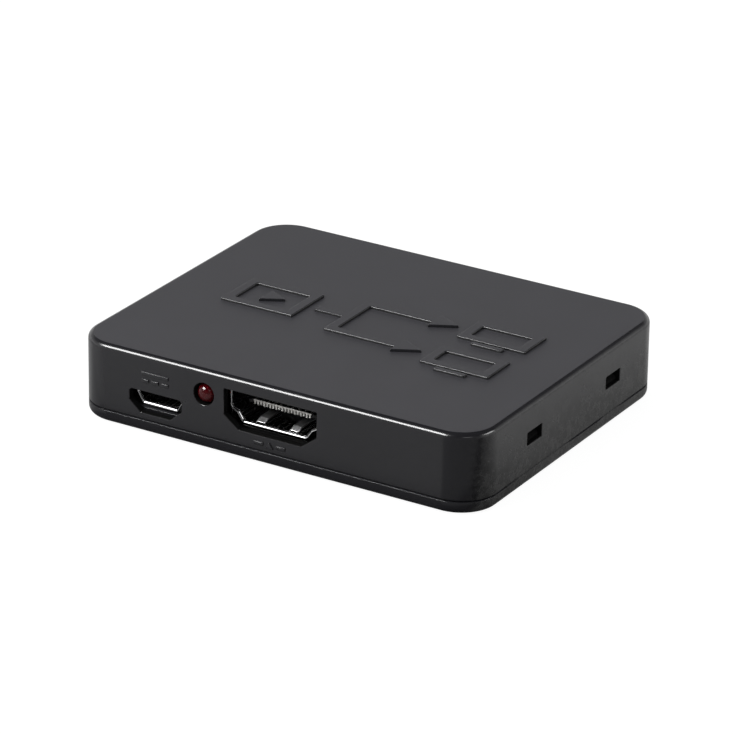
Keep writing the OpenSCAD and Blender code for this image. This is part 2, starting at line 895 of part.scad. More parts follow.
module splitter_chip() {
    mark_d = 1;
    mark_depth = 0.05;
    mark_in = chip_side / 2 - 1.3;
    color("#232325") on_board(chip_place.x, chip_place.y) difference() {
        translate([0, 0, body_lift]) linear_extrude(chip_h) square(chip_side, center = true);
        translate([-mark_in, mark_in, body_lift + chip_h - mark_depth])
            cylinder(d = mark_d, h = 1);
    }
}

module splitter_chip_leads() {
    color("#c4c7ca") on_board(chip_place.x, chip_place.y)
        for (turn = [0:90:270])
            rotate(turn) lead_row(chip_leads_a_side, chip_lead_pitch, chip_side / 2, chip_lead);
}

memory_from_chip = [-13, -4];
memory_place = chip_place + memory_from_chip;
memory_size = [4.9, 3.9, 1.4];
memory_lead = [0.4, 1];
memory_lead_pitch = 1.27;

module memory_chip() {
    color("#232325") on_board(memory_place.x, memory_place.y)
        translate([0, 0, body_lift + memory_size.z / 2]) cube(memory_size, center = true);
}

module memory_chip_leads() {
    color("#c4c7ca") on_board(memory_place.x, memory_place.y)
        for (turn = [0, 180])
            rotate(turn) lead_row(4, memory_lead_pitch, memory_size.y / 2, memory_lead);
}

regulator_size = [6.5, 3.5, 1.6];
regulator_tab = [3, 1.6];
regulator_gap = 3;
regulator_half_d = regulator_size.y / 2 + regulator_tab.y;
power_feet_y = power_len + tail_gap + foot_len - mouth_y;
regulator_place = [power_x, power_feet_y + regulator_gap + regulator_half_d];
regulator_lead = [0.7, 1.6];
regulator_lead_pitch = 2.3;

module regulator() {
    color("#232325") on_board(regulator_place.x, regulator_place.y)
        translate([0, 0, body_lift + regulator_size.z / 2]) cube(regulator_size, center = true);
}

module regulator_leads() {
    color("#c4c7ca") on_board(regulator_place.x, regulator_place.y) {
        lead_row(1, 0, regulator_size.y / 2, regulator_tab);
        rotate(180) lead_row(3, regulator_lead_pitch, regulator_size.y / 2, regulator_lead);
    }
}

crystal_from_chip = [12.5, -3];
crystal_place = chip_place + crystal_from_chip;
crystal_can = [3.8, 10.2, 3];
crystal_base = [4.7, 11.2, 0.5];

module crystal() {
    color("#b9bcc0") on_board(crystal_place.x, crystal_place.y) {
        linear_extrude(crystal_base.z)
            rounded_rect(crystal_base.x, crystal_base.y, crystal_base.x / 2 - fit);
        translate([0, 0, crystal_base.z - fit]) linear_extrude(crystal_can.z + fit)
            rounded_rect(crystal_can.x, crystal_can.y, crystal_can.x / 2 - fit);
    }
}

capacitor_left = 2.5;
capacitor_y = -2.2;
capacitor_place = [power_x - capacitor_left, capacitor_y];
capacitor_d = 5;
capacitor_base_h = 0.9;
capacitor_can_h = 4.6;

module capacitor_base() {
    base = capacitor_d + 0.3;
    cut = 1.2;
    color("#1c1c1e") on_board(capacitor_place.x, capacitor_place.y) linear_extrude(capacitor_base_h)
        polygon([
            [-base / 2, -base / 2],
            [base / 2 - cut, -base / 2],
            [base / 2, -base / 2 + cut],
            [base / 2, base / 2 - cut],
            [base / 2 - cut, base / 2],
            [-base / 2, base / 2]
        ]);
}

module capacitor_can() {
    groove_r = 0.3;
    groove_z = 0.8;
    color("#c4c7ca") on_board(capacitor_place.x, capacitor_place.y)
        translate([0, 0, capacitor_base_h]) rotate_extrude() difference() {
            square([capacitor_d / 2, capacitor_can_h]);
            translate([capacitor_d / 2, groove_z]) circle(groove_r);
        }
}

inductor_left = 1.5;
inductor_y = 4.9;
inductor_place = [power_x - inductor_left, inductor_y];
inductor_size = [5, 5, 2.6];
inductor_corner_r = 1.2;

module power_inductor() {
    color("#3a3a3c") on_board(inductor_place.x, inductor_place.y) linear_extrude(inductor_size.z)
        rounded_rect(inductor_size.x, inductor_size.y, inductor_corner_r);
}

surge_size = [2.9, 1.6, 1];
surge_gap = 1.15;
surge_out = 3;
surge_y = mouth_y - socket_len - tail_gap - foot_len - surge_gap - surge_size.y / 2;
surge_places = [
    for (side = [-1, 1]) each [
        [side * surge_out, -surge_y],
        [side * (output_x - surge_out), surge_y],
        [side * (output_x + surge_out), surge_y]
    ]
];

module surge_protectors() {
    color("#232325") for (place = surge_places) on_board(place.x, place.y)
        translate([0, 0, surge_size.z / 2]) cube(surge_size, center = true);
}

// Small two-ended parts: a body between two metal ends
chip_body = 1;
chip_end = 0.3;
chip_width = 0.8;
capacitor_h = 0.8;
resistor_h = 0.45;
chip_reach = chip_side / 2 + chip_lead.y;
chip_side_gap = 1.3;
chip_end_gap = 0.9;
beside_chip = chip_reach + chip_side_gap;
beyond_chip = chip_reach + chip_end_gap;
rear_row_x = [-3, 0, 3];
front_row_x = [-3.5, 0, 3.5];
left_row_y = [-4, 2, 5];
right_row_y = [0.5, 3];
regulator_parts = [[5, 0], [5, 2.5]];
inductor_parts = [[5.5, -2.5], [5.5, 0]];
memory_parts = [[-1, 5.5], [2, 5.5], [-1, 8], [2, 8]];
crystal_parts = [[5.5, -5], [5.5, -2.5], [5.5, 5], [5.5, 7.5], [-3.5, -6.5], [-1, -6.5]];
lamp_parts = [[-2.1, 4.3], [0.5, 4.3]];
capacitor_places = [
    for (x = rear_row_x) chip_place + [x, beyond_chip],
    for (x = front_row_x) chip_place + [x, -beyond_chip],
    for (y = left_row_y) chip_place + [-beside_chip, y],
    for (y = right_row_y) chip_place + [beside_chip, y],
    for (part = regulator_parts) regulator_place + part,
    for (part = inductor_parts) inductor_place + part
];
resistor_places = [
    for (part = memory_parts) memory_place + part,
    for (part = crystal_parts) crystal_place + part,
    for (part = lamp_parts) [lamp_x, lead_bend_y] + part
];

module chip_bodies(places, height) {
    for (place = places) on_board(place.x, place.y)
        translate([0, 0, height / 2]) cube([chip_body, chip_width, height], center = true);
}

module chip_capacitors() {
    color("#a8855c") chip_bodies(capacitor_places, capacitor_h);
}

module chip_resistors() {
    color("#1c1c1e") chip_bodies(resistor_places, resistor_h);
}

module end_pair(places, height) {
    for (place = places, side = [-1, 1])
        on_board(place.x + side * (chip_body + chip_end) / 2, place.y)
            translate([0, 0, height / 2]) cube([chip_end, chip_width, height], center = true);
}

module chip_ends() {
    color("#c4c7ca") {
        end_pair(capacitor_places, capacitor_h);
        end_pair(resistor_places, resistor_h);
    }
}

top_cover();
bottom_cover();
at_hook(1, hook_front_y) hook();  // hook_front_right
at_hook(1, hook_rear_y) hook();  // hook_rear_right
at_hook(-1, hook_front_y) hook();  // hook_front_left
at_hook(-1, hook_rear_y) hook();  // hook_rear_left
circuit_board();
at_input() video_shell();  // input_shell
at_input() video_insulator();  // input_insulator
at_input() video_contacts();  // input_contacts
at_input() video_springs(1);  // input_upper_springs
at_input() video_springs(-1);  // input_lower_springs
at_output(1) video_shell();  // output_1_shell
at_output(1) video_insulator();  // output_1_insulator
at_output(1) video_contacts();  // output_1_contacts
at_output(1) video_springs(1);  // output_1_upper_springs
at_output(1) video_springs(-1);  // output_1_lower_springs
at_output(2) video_shell();  // output_2_shell
at_output(2) video_insulator();  // output_2_insulator
at_output(2) video_contacts();  // output_2_contacts
at_output(2) video_springs(1);  // output_2_upper_springs
at_output(2) video_springs(-1);  // output_2_lower_springs
at_power() power_shell();
at_power() power_insulator();
at_power() power_contacts();
lamp_lens();
lamp_leads();
splitter_chip();
splitter_chip_leads();
memory_chip();
memory_chip_leads();
regulator();
regulator_leads();
crystal();
capacitor_base();
capacitor_can();
power_inductor();
surge_protectors();
chip_capacitors();
chip_resistors();
chip_ends();
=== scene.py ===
"""The looks of a two-way video splitter, laid out as a Blender add-on and run as a script.

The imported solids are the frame. Every piece is built in metres where its solid lies and
rides on that solid's body. Sizes that the frame doesn't give are properties of the scene.
"""

import math

import bmesh
import bpy
from bpy.props import FloatProperty, FloatVectorProperty, IntProperty, PointerProperty
from mathutils import Matrix, Vector


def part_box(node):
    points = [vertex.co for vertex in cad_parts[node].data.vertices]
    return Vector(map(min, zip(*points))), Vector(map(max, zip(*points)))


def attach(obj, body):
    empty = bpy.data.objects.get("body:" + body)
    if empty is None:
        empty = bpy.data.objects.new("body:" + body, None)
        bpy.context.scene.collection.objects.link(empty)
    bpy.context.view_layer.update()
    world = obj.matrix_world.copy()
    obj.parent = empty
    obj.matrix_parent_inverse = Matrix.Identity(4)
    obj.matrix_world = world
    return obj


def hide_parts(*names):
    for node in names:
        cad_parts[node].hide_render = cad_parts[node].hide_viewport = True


bl_info = {
    "name": "Video splitter",
    "version": (1, 0, 0),
    "blender": (4, 5, 0),
    "location": "3D View > Sidebar > Splitter",
    "description": "Builds a two-way video splitter and its studio stage",
    "category": "Object",
}

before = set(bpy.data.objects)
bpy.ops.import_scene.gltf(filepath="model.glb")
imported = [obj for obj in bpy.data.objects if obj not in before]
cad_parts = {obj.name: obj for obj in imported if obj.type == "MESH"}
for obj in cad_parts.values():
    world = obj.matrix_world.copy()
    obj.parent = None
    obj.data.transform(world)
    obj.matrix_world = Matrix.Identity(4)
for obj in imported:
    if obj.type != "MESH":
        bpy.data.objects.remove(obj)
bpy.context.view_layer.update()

MM = 0.001

# Steps round the corners, edges, folds and rims, and round the turned pieces
CORNER_STEPS = 24
EDGE_STEPS = 12
BEND_STEPS = 4
SMALL_BEND_STEPS = 3
RIM_STEPS = 10
ROUND_STEPS = 48
LENS_STEPS = 64
PIP_STEPS = 24

# A cutter's reach past what it cuts, the gap round a block in its sleeve, a contact's rounding
PAST = 1 * MM
FIT = 0.05 * MM
CONTACT_SOFTNESS = 0.03 * MM

BASE_LOW, BASE_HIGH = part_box("bottom_cover")
COVER_LOW, COVER_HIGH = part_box("top_cover")
BOARD_LOW, BOARD_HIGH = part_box("circuit_board")
HALF_W = BASE_HIGH.x
HALF_D = BASE_HIGH.y
SEAM_Z = COVER_LOW.z
BOARD_TOP = BOARD_HIGH.z

# Places down the right side, in millimetres, and how far the seam is shut there
SEAM_STOPS = (
    (-18, 0.0),
    (-15, 0.94),
    (-1.5, 0.94),
    (0, 0.0),
    (8, 0.0),
    (9.5, 0.94),
    (13, 0.94),
    (15.5, 0.0),
)
VIDEO_SOCKETS = ("input", "output_1", "output_2")
HOOKS = ("hook_front_right", "hook_rear_right", "hook_front_left", "hook_rear_left")
HOOK_LOW, HOOK_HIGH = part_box(HOOKS[0])
HOOK_HALF = (HOOK_HIGH.y - HOOK_LOW.y) / 2

# Where the stops down the right side come in a loop round the case
RIGHT_START = 2 * (CORNER_STEPS + 1)


def length(name, description, millimetres):
    """A length whose default is given in millimetres."""
    return FloatProperty(
        name=name,
        description=description,
        default=millimetres * MM,
        unit="LENGTH",
        precision=5,
    )


def colour(name, description, value):
    """A colour, in linear values."""
    return FloatVectorProperty(
        name=name,
        description=description,
        default=value,
        size=3,
        min=0.0,
        max=1.0,
        subtype="COLOR",
    )


def angle(name, description, degrees):
    """An angle whose default is given in degrees."""
    return FloatProperty(
        name=name,
        description=description,
        default=math.radians(degrees),
        subtype="ANGLE",
    )


def strength(name, description, value):
    """A plain number that is never negative."""
    return FloatProperty(name=name, description=description, default=value, min=0.0)


class SplitterCase(bpy.types.PropertyGroup):
    """Sizes of the two covers"""

    corner: length("Corner radius", "Radius of the upright corners", 5.7)
    edge: length("Edge radius", "Radius along the roof and the underside", 0.9)
    wall: length("Wall", "Thickness of the upright walls", 1.2)
    roof: length("Roof", "Thickness of the roof", 1.2)
    floor: length("Floor", "Thickness of the floor", 1.4)
    shadow_height: length("Shadow height", "Height of the line between the covers", 0.2)
    shadow_depth: length("Shadow depth", "Depth of the line between the covers", 0.5)
    lip: length("Lip", "Thickness of the locating lip", 0.9)
    lip_gap: length("Lip gap", "Gap between the lip and the top cover", 0.15)
    lip_height: length("Lip height", "Height of the lip above the seam", 1.4)
    post: length("Post", "Diameter of the posts", 4.4)
    post_inset_x: length("Post inset X", "Distance of the posts from the sides", 6.5)
    post_inset_y: length("Post inset Y", "Distance of the posts from front and back", 7.3)
    pin: length("Pin", "Diameter of the pins on the posts", 1.8)
    pin_gap: length("Pin gap", "Gap round a pin", 0.2)
    softness: length("Edge softness", "Rounding of the top cover's sharp edges", 0.14)
    base_softness: length("Base softness", "Rounding of the bottom cover's sharp edges", 0.04)
    tint: colour("Plastic", "Colour of the case's plastic", (0.0168, 0.0166, 0.0195))


class SplitterMarks(bpy.types.PropertyGroup):
    """Sizes of the raised marks"""

    roof_height: length("Roof mark height", "Height of the mark on the roof", 0.4)
    roof_line: length("Roof line", "Width of the lines of the roof's mark", 1.5)
    face_height: length("Face mark height", "Height of the small marks", 0.2)
    face_line: length("Face line", "Width of the lines of the small marks", 0.5)
    roof_softness: length("Roof softness", "Rounding of the roof mark's edges", 0.14)
    face_softness: length("Face softness", "Rounding of the small marks' edges", 0.06)


class SplitterHooks(bpy.types.PropertyGroup):
    """Sizes of the snap hooks"""

    arm: length("Arm", "Thickness of a hook's arm", 0.9)
    reach: length("Reach", "How far a catch stands out from its arm", 0.9)
    catch_height: length("Catch height", "Height of a catch", 1.4)
    flat: length("Flat", "Height of the flat at a catch's outer edge", 0.5)
    tip: length("Tip", "Height of the arm above its catch", 0.15)
    side_gap: length("Side gap", "Gap between a catch and its window's sides", 0.2)
    low_gap: length("Low gap", "Gap between a catch and its window's sill", 0.07)
    head_gap: length("Head gap", "Gap between a catch and its window's head", 0.39)
    seat_room: length("Seat room", "Room beside a hook in the bottom cover", 0.4)
    root_gap: length("Root gap", "Gap round the root of a hook", 0.05)


class SplitterSockets(bpy.types.PropertyGroup):
    """Sizes of the video sockets"""

    width: length("Width", "Inside width", 14.0)
    height: length("Height", "Inside height", 4.55)
    depth: length("Depth", "Length from front to back", 11.0)
    floor_width: length("Floor width", "Width of the flat floor", 10.1)
    side_height: length("Side height", "Height of the upright sides", 2.75)
    shoulder_in: length("Shoulder in", "Distance of the shoulders from the sides", 1.15)
    shoulder_drop: length("Shoulder drop", "Drop of the shoulders below the sides", 0.6)
    corner_cut: length("Corner cut", "Cuts at the upper corners", 0.3)
    bend: length("Bend", "Inside radius of the upper folds", 0.2)
    shoulder_bend: length("Shoulder bend", "Inside radius of the lower folds", 0.6)
    sheet: length("Sheet", "Thickness of the sheet metal", 0.3)
    rim: length("Rim", "Thickness of the sheet at the mouth's rim", 0.18)
    flare: length("Flare", "How far the mouth stands out", 0.25)
    flare_length: length("Flare length", "Length of the wider mouth", 0.4)
    curl: IntProperty(
        name="Curl", description="How suddenly the mouth turns out", default=2, min=1
    )
    tongue_width: length("Tongue width", "Width of the insulating tongue", 11.0)
    tongue: length("Tongue", "Thickness of the insulating tongue", 0.55)
    tongue_drop: length("Tongue drop", "How far the tongue lies below the middle", 0.1)
    tongue_inset: length("Tongue inset", "Distance of the tongue behind the mouth", 2.15)
    block: length("Block", "Distance of the insulating block behind the mouth", 6.55)
    contact_width: length("Contact width", "Width of a contact", 0.3)
    contact: length("Contact", "Thickness of a contact", 0.16)
    head_width: length("Head width", "Width of the head at a contact's tip", 0.5)
    head_height: length("Head height", "Height of the head at a contact's tip", 0.26)
    contact_pitch: length("Contact pitch", "Distance between contacts in a row", 1.0)
    upper_contacts: IntProperty(
        name="Upper contacts", description="Contacts on top of the tongue", default=10, min=1
    )
    lower_contacts: IntProperty(
        name="Lower contacts", description="Contacts under the tongue", default=9, min=1
    )
    finger_width: length("Finger width", "Width of a spring finger", 1.4)
    finger_pitch: length("Finger pitch", "Distance between a pair's fingers", 5.5)
    finger_length: length("Finger length", "Length of a spring finger", 4.7)
    finger: length("Finger", "Thickness of a spring finger", 0.25)
    finger_bow: length("Finger bow", "How far a finger bows into the socket", 0.42)
    finger_root: length("Finger root", "Distance of a finger's root behind the mouth", 0.95)
    leg_width: length("Leg width", "Width of a soldered leg", 1.6)
    cut_width: length("Cut-out width", "Width of the cut-out in the case", 15.1)
    cut_height: length("Cut-out height", "Height of the cut-out in the case", 5.7)
    cut_floor: length("Cut-out floor", "Width of the cut-out's bottom", 10.2)
    cut_side: length("Cut-out side", "Height of the cut-out's upright sides", 3.85)
    cut_drop: length("Cut-out drop", "How far the cut-out lies below the socket", 0.45)
    metal: colour("Metal", "Colour of the plated sheet", (0.62, 0.62, 0.63))
    plating: colour("Contacts", "Colour of the contacts' plating", (0.5, 0.49, 0.47))


class SplitterPower(bpy.types.PropertyGroup):
    """Sizes of the power socket"""

    width: length("Width", "Inside width", 6.9)
    height: length("Height", "Inside height", 1.85)
    depth: length("Depth", "Length from front to back", 5.3)
    floor_width: length("Floor width", "Width of the flat floor", 5.6)
    side_height: length("Side height", "Height of the upright sides", 0.6)
    corner_cut: length("Corner cut", "Cuts at the upper corners", 0.3)
    bend: length("Bend", "Inside radius of the folds", 0.2)
    sheet: length("Sheet", "Thickness of the sheet metal", 0.25)
    rim: length("Rim", "Thickness of the sheet at the mouth's rim", 0.16)
    flare: length("Flare", "How far the mouth flares up and down", 0.35)
    flare_length: length("Flare length", "Length of the flared mouth", 0.6)
    curl: IntProperty(
        name="Curl", description="How suddenly the mouth turns out", default=3, min=1
    )
    block: length("Block", "Length of the insulating block", 1.6)
    tongue_width: length("Tongue width", "Width of the insulating tongue", 3.7)
    tongue: length("Tongue", "Thickness of the insulating tongue", 0.6)
    tongue_inset: length("Tongue inset", "Distance of the tongue behind the mouth", 1.3)
    tongue_rise: length("Tongue rise", "Height of the tongue above the middle", 0.2)
    contact_pitch: length("Contact pitch", "Distance between contacts", 0.65)
    contacts: IntProperty(
        name="Contacts", description="Contacts under the tongue", default=5, min=1
    )
    leg_width: length("Leg width", "Width of a soldered leg", 0.8)
    cut_width: length("Cut-out width", "Width of the cut-out in the case", 8.75)
    cut_floor: length("Cut-out floor", "Width of the cut-out's bottom", 5.0)
    cut_top: length("Cut-out top", "Height of the cut-out above the middle", 1.1)
    cut_low: length("Cut-out depth", "Depth of the cut-out below the middle", 2.2)
    cut_side: length("Cut-out side", "Height of the cut-out's upright sides", 1.35)
    cut_corner: length("Cut-out corner", "Cuts at the cut-out's upper corners", 0.35)


class SplitterLamp(bpy.types.PropertyGroup):
    """Sizes of the lamp"""

    lens: length("Lens", "Diameter of the lens", 3.0)
    flange: length("Flange", "Thickness of the flange at the lens's back", 1.0)
    gap: length("Gap", "Gap round the lens in its hole", 0.17)
    lead: length("Lead", "Thickness of a lead", 0.5)
    lead_pitch: length("Lead pitch", "Distance between the leads", 2.54)
    lead_bend: length("Lead bend", "Distance of the leads' bend behind the lens", 0.9)
    red: colour("Lens colour", "Colour of the lens's resin", (0.32, 0.012, 0.02))


class SplitterStage(bpy.types.PropertyGroup):
    """The camera, the lights and the floor"""

    azimuth: angle("Azimuth", "How far the camera stands round to the right", 30.94)
    elevation: angle("Elevation", "How far the camera stands above the horizon", 23.67)
    roll: angle("Roll", "How far the camera is turned about its axis", 0.8)
    distance: length("Distance", "Distance of the camera from the case's middle", 655.97)
    aim_right: length("Aim right", "How far right of the case's middle the camera aims", -0.52)
    aim_up: length("Aim up", "How far above the case's middle the camera aims", -0.76)
    lens: FloatProperty(
        name="Lens", description="Focal length of the camera", default=225.25, unit="CAMERA"
    )
    backdrop: strength("Backdrop", "Brightness of the backdrop in mirrors", 1.1)
    near_side: strength("Near side", "Brightness of the camera's side in mirrors", 0.2)
    upper: strength("Upper part", "Part of the backdrop's brightness that is left higher up", 0.45)
    overhead: strength("Overhead", "Part of that brightness that is left overhead", 0.08)
    ambient: strength("Ambient", "Brightness of the soft light all round", 0.65)
    key: strength("Key", "Radiance of the soft light from the left", 6.0)
    strip: strength("Strip", "Radiance of the light that shows along the edges", 22.0)
    side_strip: strength("Side strip", "Radiance of the light that shows at the right", 10.0)
    front_strip: strength("Front strip", "Radiance of the small light at the front", 2.0)
    floor_glow: strength("Floor glow", "Brightness that the floor shows the camera", 0.93)
    floor_shade: strength("Floor shade", "Part of the floor's light that keeps the shadow", 0.16)
    # The tints in front, by the near corner and at the front's foot are painted shade and a
    # painted contact shadow, which the case shows in its reflections.
    floor_side: strength("Floor at the sides", "Tint of the floor beside and behind", 0.81)
    front_painted_shade: strength("Floor in front", "Tint of the floor in front", 0.61)
    near_corner_painted_shade: strength("Floor near", "Tint of the floor by the near corner", 0.27)
    foot_painted_shadow: strength("Floor at the foot", "Part of the tint left along the front's foot", 0.28)


class SplitterSettings(bpy.types.PropertyGroup):
    """Everything about the splitter that a user would change"""

    case: PointerProperty(type=SplitterCase)
    marks: PointerProperty(type=SplitterMarks)
    hooks: PointerProperty(type=SplitterHooks)
    sockets: PointerProperty(type=SplitterSockets)
    power: PointerProperty(type=SplitterPower)
    lamp: PointerProperty(type=SplitterLamp)
    stage: PointerProperty(type=SplitterStage)


# Outlines and paths


def flat(*points):
    """Points of an outline, across and up."""
    return [Vector(point) for point in points]


def round_corner(before, here, after, radius, steps):
    """The points of an arc that rounds the corner at here."""
    nearly_straight = 0.001
    back = (before - here).normalized()
    ahead = (after - here).normalized()
    half = back.angle(ahead) / 2
    if math.pi / 2 - half < nearly_straight:
        return [here.copy()]
    centre = here + (back + ahead).normalized() * (radius / math.sin(half))
    start = here + back * (radius / math.tan(half)) - centre
    left_turn = back.y * ahead.x - back.x * ahead.y
    sweep = math.copysign(math.pi - 2 * half, left_turn)
    return [centre + Matrix.Rotation(sweep * k / steps, 2) @ start for k in range(steps + 1)]


def rounded(outline, radii, steps=BEND_STEPS):
    """A closed outline with each corner rounded, by one radius or by a list of them."""
    count = len(outline)
    if not isinstance(radii, list):
        radii = [radii] * count
    points = []
    for k in range(count):
        neighbours = outline[k - 1], outline[k], outline[(k + 1) % count]
        points += round_corner(*neighbours, radii[k], steps)
    return points


def bent(path, radius, steps=BEND_STEPS):
    """An open path with each inner corner rounded."""
    points = [path[0]]
    for before, here, after in zip(path, path[1:], path[2:]):
        points += round_corner(before, here, after, radius, steps)
    return points + [path[-1]]


def grown(outline, distance):
    """An anticlockwise outline with every edge moved out."""
    points = []
    for k, here in enumerate(outline):
        before = outline[k - 1]
        after = outline[(k + 1) % len(outline)]
        one = Vector((here.y - before.y, before.x - here.x)).normalized()
        two = Vector((after.y - here.y, here.x - after.x)).normalized()
        points.append(here + (one + two) * (distance / (1 + one.dot(two))))
    return points


def rectangle(width, height, middle=(0, 0)):
    """An upright rectangle about its middle."""
    x, y = middle
    w, h = width / 2, height / 2
    return flat((x - w, y - h), (x + w, y - h), (x + w, y + h), (x - w, y + h))


def both_sides(right):
    """An outline that is alike on both sides, from the points of its right side, going up."""
    return flat(*right, *[(-x, z) for x, z in reversed(right)])


def sagged(outline, distance, side_part=0.2):
    """An outline grown all round but for its upright sides, which hardly move."""
    widest = max(point.x for point in outline) + side_part * distance
    points = grown(outline, distance)
    return [Vector((max(-widest, min(widest, point.x)), point.y)) for point in points]


def opened(outline, distance, side_part=0.8):
    """An outline with its level top and bottom moved out, and all but its bottom widened."""
    top = max(point.y for point in outline)
    low = min(point.y for point in outline)
    rise = {top: distance, low: -distance}
    points = []
    for point in outline:
        wider = 0.0 if point.y == low else math.copysign(side_part * distance, point.x)
        points.append(Vector((point.x + wider, point.y + rise.get(point.y, 0.0))))
    return points


def socket_section(sizes, shoulder=()):
    """The inside of a socket: two slanted lower corners and small cuts at the upper ones."""
    half, top, cut = sizes.width / 2, sizes.height / 2, sizes.corner_cut
    right = [
        (sizes.floor_width / 2, -top),
        *shoulder,
        (half, top - sizes.side_height),
        (half, top - cut),
        (half - cut, top),
    ]
    return both_sides(right)


def video_section(sockets):
    """The inside of a video socket, and its corners' radii, below 0 where it turns inwards."""
    shoulder = (
        sockets.width / 2 - sockets.shoulder_in,
        sockets.height / 2 - sockets.side_height - sockets.shoulder_drop,
    )
    wide, tight = sockets.shoulder_bend, sockets.bend
    bends = [wide, -wide, wide, tight, tight]
    return socket_section(sockets, [shoulder]), bends + bends[::-1]


def power_section(power):
    """The inside of the power socket, and its corners' radii."""
    return socket_section(power), [power.bend] * 8


def at_depth(outline, y):
    """An outline, drawn across and up, stood upright at the depth y."""
    return [Vector((point.x, y, point.y)) for point in outline]


def at_height(outline, z):
    """An outline, drawn across and back, laid flat at the height z."""
    return [Vector((point.x, point.y, z)) for point in outline]


# Meshes


def add_skin(bm, loops, ring=False, place=Matrix()):
    """Joins loops of points by quads, and closes the ends or joins them into a ring."""
    rows = [[bm.verts.new(place @ point) for point in loop] for loop in loops]
    pairs = list(zip(rows, rows[1:]))
    if ring:
        pairs.append((rows[-1], rows[0]))
    else:
        bm.faces.new(rows[0][::-1])
        bm.faces.new(rows[-1])
    for one, two in pairs:
        for k in range(len(one)):
            bm.faces.new((one[k - 1], one[k], two[k], two[k - 1]))


def add_block(bm, low, high, place=Matrix()):
    """A block between two corners."""
    outline = flat((low[0], low[1]), (high[0], low[1]), (high[0], high[1]), (low[0], high[1]))
    add_skin(bm, [at_height(outline, low[2]), at_height(outline, high[2])], place=place)


def add_strip(bm, path, x, width, thickness, place=Matrix()):
    """A flat strip along a path that is drawn back and up."""
    loops = []
    for k, here in enumerate(path):
        along = path[min(k + 1, len(path) - 1)] - path[max(k - 1, 0)]
        out = Vector((-along.y, along.x)).normalized() * (thickness / 2)
        above, below = here + out, here - out
        left, right = x - width / 2, x + width / 2
        loops.append(
            [
                Vector((left, above.x, above.y)),
                Vector((right, above.x, above.y)),
                Vector((right, below.x, below.y)),
                Vector((left, below.x, below.y)),
            ]
        )
    add_skin(bm, loops, place=place)


def add_lathe(bm, profile, place, steps=ROUND_STEPS):
    """Turns a profile of (radius, height) about the Z axis of its place, from pole to pole."""
    rows = []
    for radius, height in profile:
        turns = [2 * math.pi * k / steps for k in range(steps)] if radius else [0.0]
        ring = [Vector((radius * math.cos(a), radius * math.sin(a), height)) for a in turns]
        rows.append([bm.verts.new(place @ point) for point in ring])
    for one, two in zip(rows, rows[1:]):
        for k in range(steps):
            after = (k + 1) % steps
            corners = (
                one[k % len(one)],
                one[after % len(one)],
                two[after % len(two)],
                two[k % len(two)],
            )
            bm.faces.new(list(dict.fromkeys(corners)))


def new_object(name, bm):
    """A smooth object from a mesh in the making, with its faces outwards."""
    bmesh.ops.recalc_face_normals(bm, faces=bm.faces[:])
    mesh = bpy.data.meshes.new(name)
    bm.to_mesh(mesh)
    bm.free()
    mesh.shade_smooth()
    obj = bpy.data.objects.new(name, mesh)
    bpy.context.scene.collection.objects.link(obj)
    return obj


def evaluated_mesh(obj):
    """A plain mesh of an object as its modifiers leave it."""
    graph = bpy.context.evaluated_depsgraph_get()
    return bpy.data.meshes.new_from_object(
        obj.evaluated_get(graph), preserve_all_data_layers=True, depsgraph=graph
    )


def settle(obj):
    """Makes an object's modifiers part of its mesh."""
    mesh = evaluated_mesh(obj)
    worn_out = obj.data
    obj.modifiers.clear()
    obj.data = mesh
    bpy.data.meshes.remove(worn_out)


def cut_out(obj, cutter):
    """Takes a cutter's shapes out of an object."""
    modifier = obj.modifiers.new("cut", "BOOLEAN")
    modifier.operation = "DIFFERENCE"
    modifier.solver = "EXACT"
    modifier.object = cutter
    settle(obj)
    bpy.data.objects.remove(cutter)


def soften(obj, width, segments=2, limit=35):
    """Rounds an object's sharp edges and keeps its flat faces flat."""
    bevel = obj.modifiers.new("soften", "BEVEL")
    bevel.width = width
    bevel.segments = segments
    bevel.limit_method = "ANGLE"
    bevel.angle_limit = math.radians(limit)
    bevel.use_clamp_overlap = False
    bevel.material = 0
    bevel.miter_outer = "MITER_ARC"
    obj.modifiers.new("even", "WEIGHTED_NORMAL")
    settle(obj)


def finish(obj, material, body, slot, *nodes):
    """Gives a piece its material and its body, and hides the solids that it stands for; its slot
    is not used.
    """
    obj.data.materials.append(material)
    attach(obj, body)
    if nodes:
        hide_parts(*nodes)


def merged(meshes):
    """One mesh in the making from several meshes, which are used up."""
    bm = bmesh.new()
    for mesh in meshes:
        bm.from_mesh(mesh)
        bpy.data.meshes.remove(mesh)
    return bm


def joined(name, *pieces):
    """One object from several, which are used up."""
    bm = merged([piece.data.copy() for piece in pieces])
    for piece in pieces:
        bpy.data.objects.remove(piece)
    return new_object(name, bm)


def dress(node, name, material, slot, softness):
    """A copy of a solid with its triangles merged into whole faces and its edges rounded."""
    same_place = 0.001 * MM
    same_plane = math.radians(1)
    bm = bmesh.new()
    bm.from_mesh(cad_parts[node].data)
    bmesh.ops.remove_doubles(bm, verts=bm.verts[:], dist=same_place)
    bmesh.ops.dissolve_limit(bm, angle_limit=same_plane, verts=bm.verts[:], edges=bm.edges[:])
    obj = new_object(name, bm)
    soften(obj, softness)
    finish(obj, material, "case", slot, node)


# Node trees


